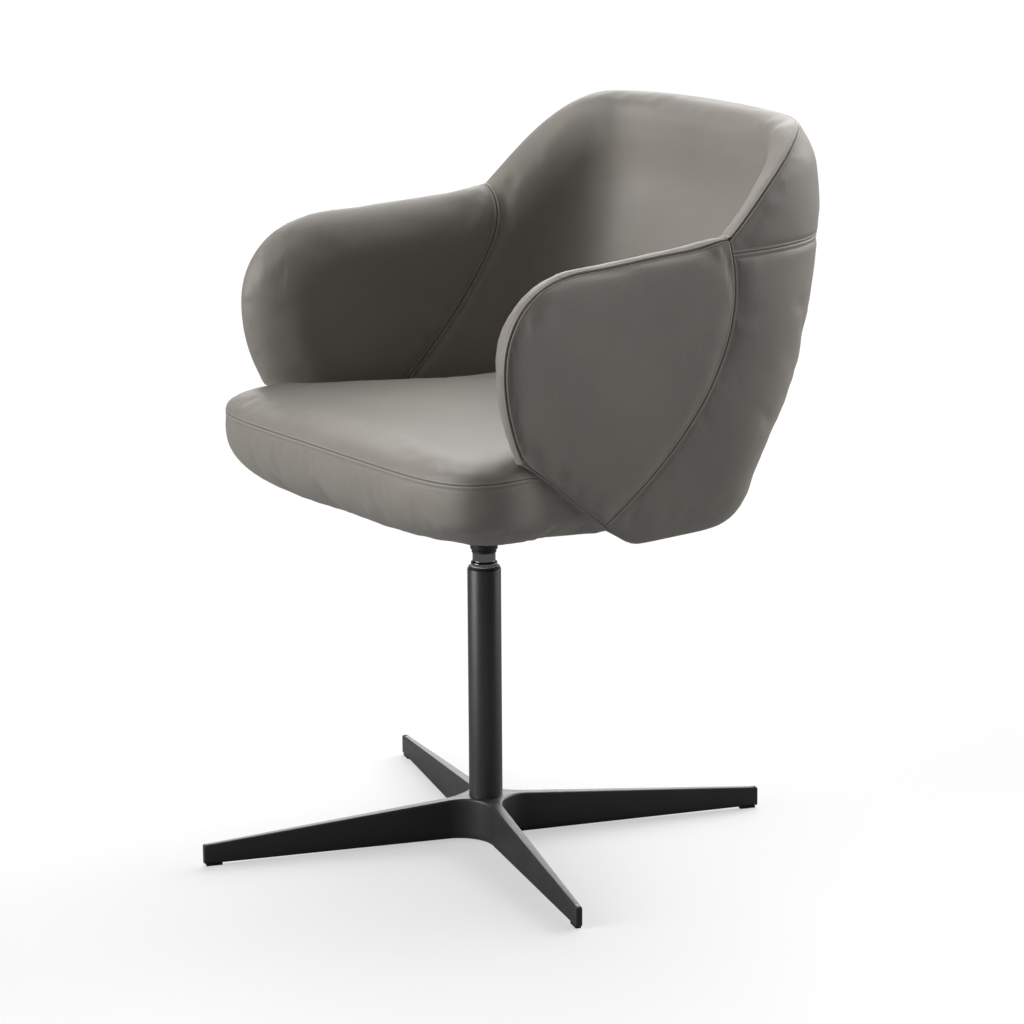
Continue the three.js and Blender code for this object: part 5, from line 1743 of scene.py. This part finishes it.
def make_floor(scene):
    """A floor that shows as pale with the chair's shadow, and throws little light back."""
    mesh = bpy.data.meshes.new("studio_floor")
    corners = ((-1, -1), (1, -1), (1, 1), (-1, 1))
    mesh.from_pydata([(x * FLOOR_REACH, y * FLOOR_REACH, 0) for x, y in corners], [],
                     [(0, 1, 2, 3)])
    floor = bpy.data.objects.new("studio_floor", mesh)
    scene.collection.objects.link(floor)
    material = bpy.data.materials.new("Studio floor")
    material.use_nodes = True
    tree = material.node_tree
    tree.nodes.clear()
    seen = add_node(tree, "ShaderNodeLightPath").outputs["Is Camera Ray"]
    colour = mix_colour(tree, seen, grey(FLOOR_BOUNCE), grey(FLOOR_SHADE))
    plain = add_node(tree, "ShaderNodeBsdfDiffuse", {"Color": colour})
    glow = add_node(tree, "ShaderNodeEmission", {
        "Color": grey(1), "Strength": math_node(tree, "MULTIPLY", seen, FLOOR_GLOW)})
    both = add_node(tree, "ShaderNodeAddShader", {0: plain.outputs[0], 1: glow.outputs[0]})
    add_node(tree, "ShaderNodeOutputMaterial", {"Surface": both.outputs[0]})
    mesh.materials.append(material)


def make_world(scene):
    """White behind the chair, dim to what it reflects, and dimmer as light on it."""
    world = bpy.data.worlds.new("Studio")
    scene.world = world
    world.use_nodes = True
    tree = world.node_tree
    tree.nodes.clear()
    path = add_node(tree, "ShaderNodeLightPath").outputs
    ambient, gloss, white = (
        add_node(tree, "ShaderNodeBackground", {"Color": grey(1), "Strength": strength}).outputs[0]
        for strength in (WORLD_AMBIENT, WORLD_GLOSS, 1.0))
    shaded = add_node(tree, "ShaderNodeMixShader", {
        0: path["Is Glossy Ray"], 1: ambient, 2: gloss})
    both = add_node(tree, "ShaderNodeMixShader", {
        0: path["Is Camera Ray"], 1: shaded.outputs[0], 2: white})
    add_node(tree, "ShaderNodeOutputWorld", {"Surface": both.outputs[0]})


def make_lights(scene):
    for name, place, strength, size in LIGHTS:
        data = bpy.data.lights.new(name, "SUN")
        data.angle = math.radians(size)
        data.energy = strength
        lamp = bpy.data.objects.new(name, data)
        lamp.location = Vector(place) * LAMP_DISTANCE
        lamp.rotation_euler = Vector(place).to_track_quat("Z", "Y").to_euler()
        scene.collection.objects.link(lamp)


class ARMCHAIR_OT_studio(bpy.types.Operator):
    """Pale floor, soft studio lights, white surroundings and the camera"""

    bl_idname = "armchair.studio"
    bl_label = "Studio"

    def execute(self, context):
        scene = context.scene
        scene.view_settings.view_transform = "Standard"
        make_camera(scene)
        make_floor(scene)
        make_world(scene)
        make_lights(scene)
        return {"FINISHED"}


PIECES = (
    ARMCHAIR_OT_padding, ARMCHAIR_OT_arm_covers, ARMCHAIR_OT_back_covers, ARMCHAIR_OT_tub_band,
    ARMCHAIR_OT_seat_cushion, ARMCHAIR_OT_settle_padding, ARMCHAIR_OT_stitches,
    ARMCHAIR_OT_star_base, ARMCHAIR_OT_column, ARMCHAIR_OT_spindle, ARMCHAIR_OT_kept_pieces,
    ARMCHAIR_OT_studio,
)


class ARMCHAIR_PT_panel(bpy.types.Panel):
    """Lists the sizes, the finish and the pieces"""

    bl_idname = "ARMCHAIR_PT_panel"
    bl_label = "Armchair"
    bl_space_type = "VIEW_3D"
    bl_region_type = "UI"
    bl_category = "Armchair"

    def draw(self, context):
        layout = self.layout
        for group in (context.scene.armchair_sizes, context.scene.armchair_finish):
            for key in group.bl_rna.properties.keys():
                if key not in ("rna_type", "name"):
                    layout.prop(group, key)
        for piece in PIECES:
            layout.operator(piece.bl_idname)


CLASSES = (ArmchairSizes, ArmchairFinish, *PIECES, ARMCHAIR_PT_panel)


def register():
    for item in CLASSES:
        bpy.utils.register_class(item)
    bpy.types.Scene.armchair_sizes = PointerProperty(type=ArmchairSizes)
    bpy.types.Scene.armchair_finish = PointerProperty(type=ArmchairFinish)


def unregister():
    del bpy.types.Scene.armchair_sizes
    del bpy.types.Scene.armchair_finish
    for item in reversed(CLASSES):
        bpy.utils.unregister_class(item)


def main():
    register()
    for piece in PIECES:
        getattr(bpy.ops.armchair, piece.bl_idname.split(".")[1])()


if __name__ == "__main__":
    main()
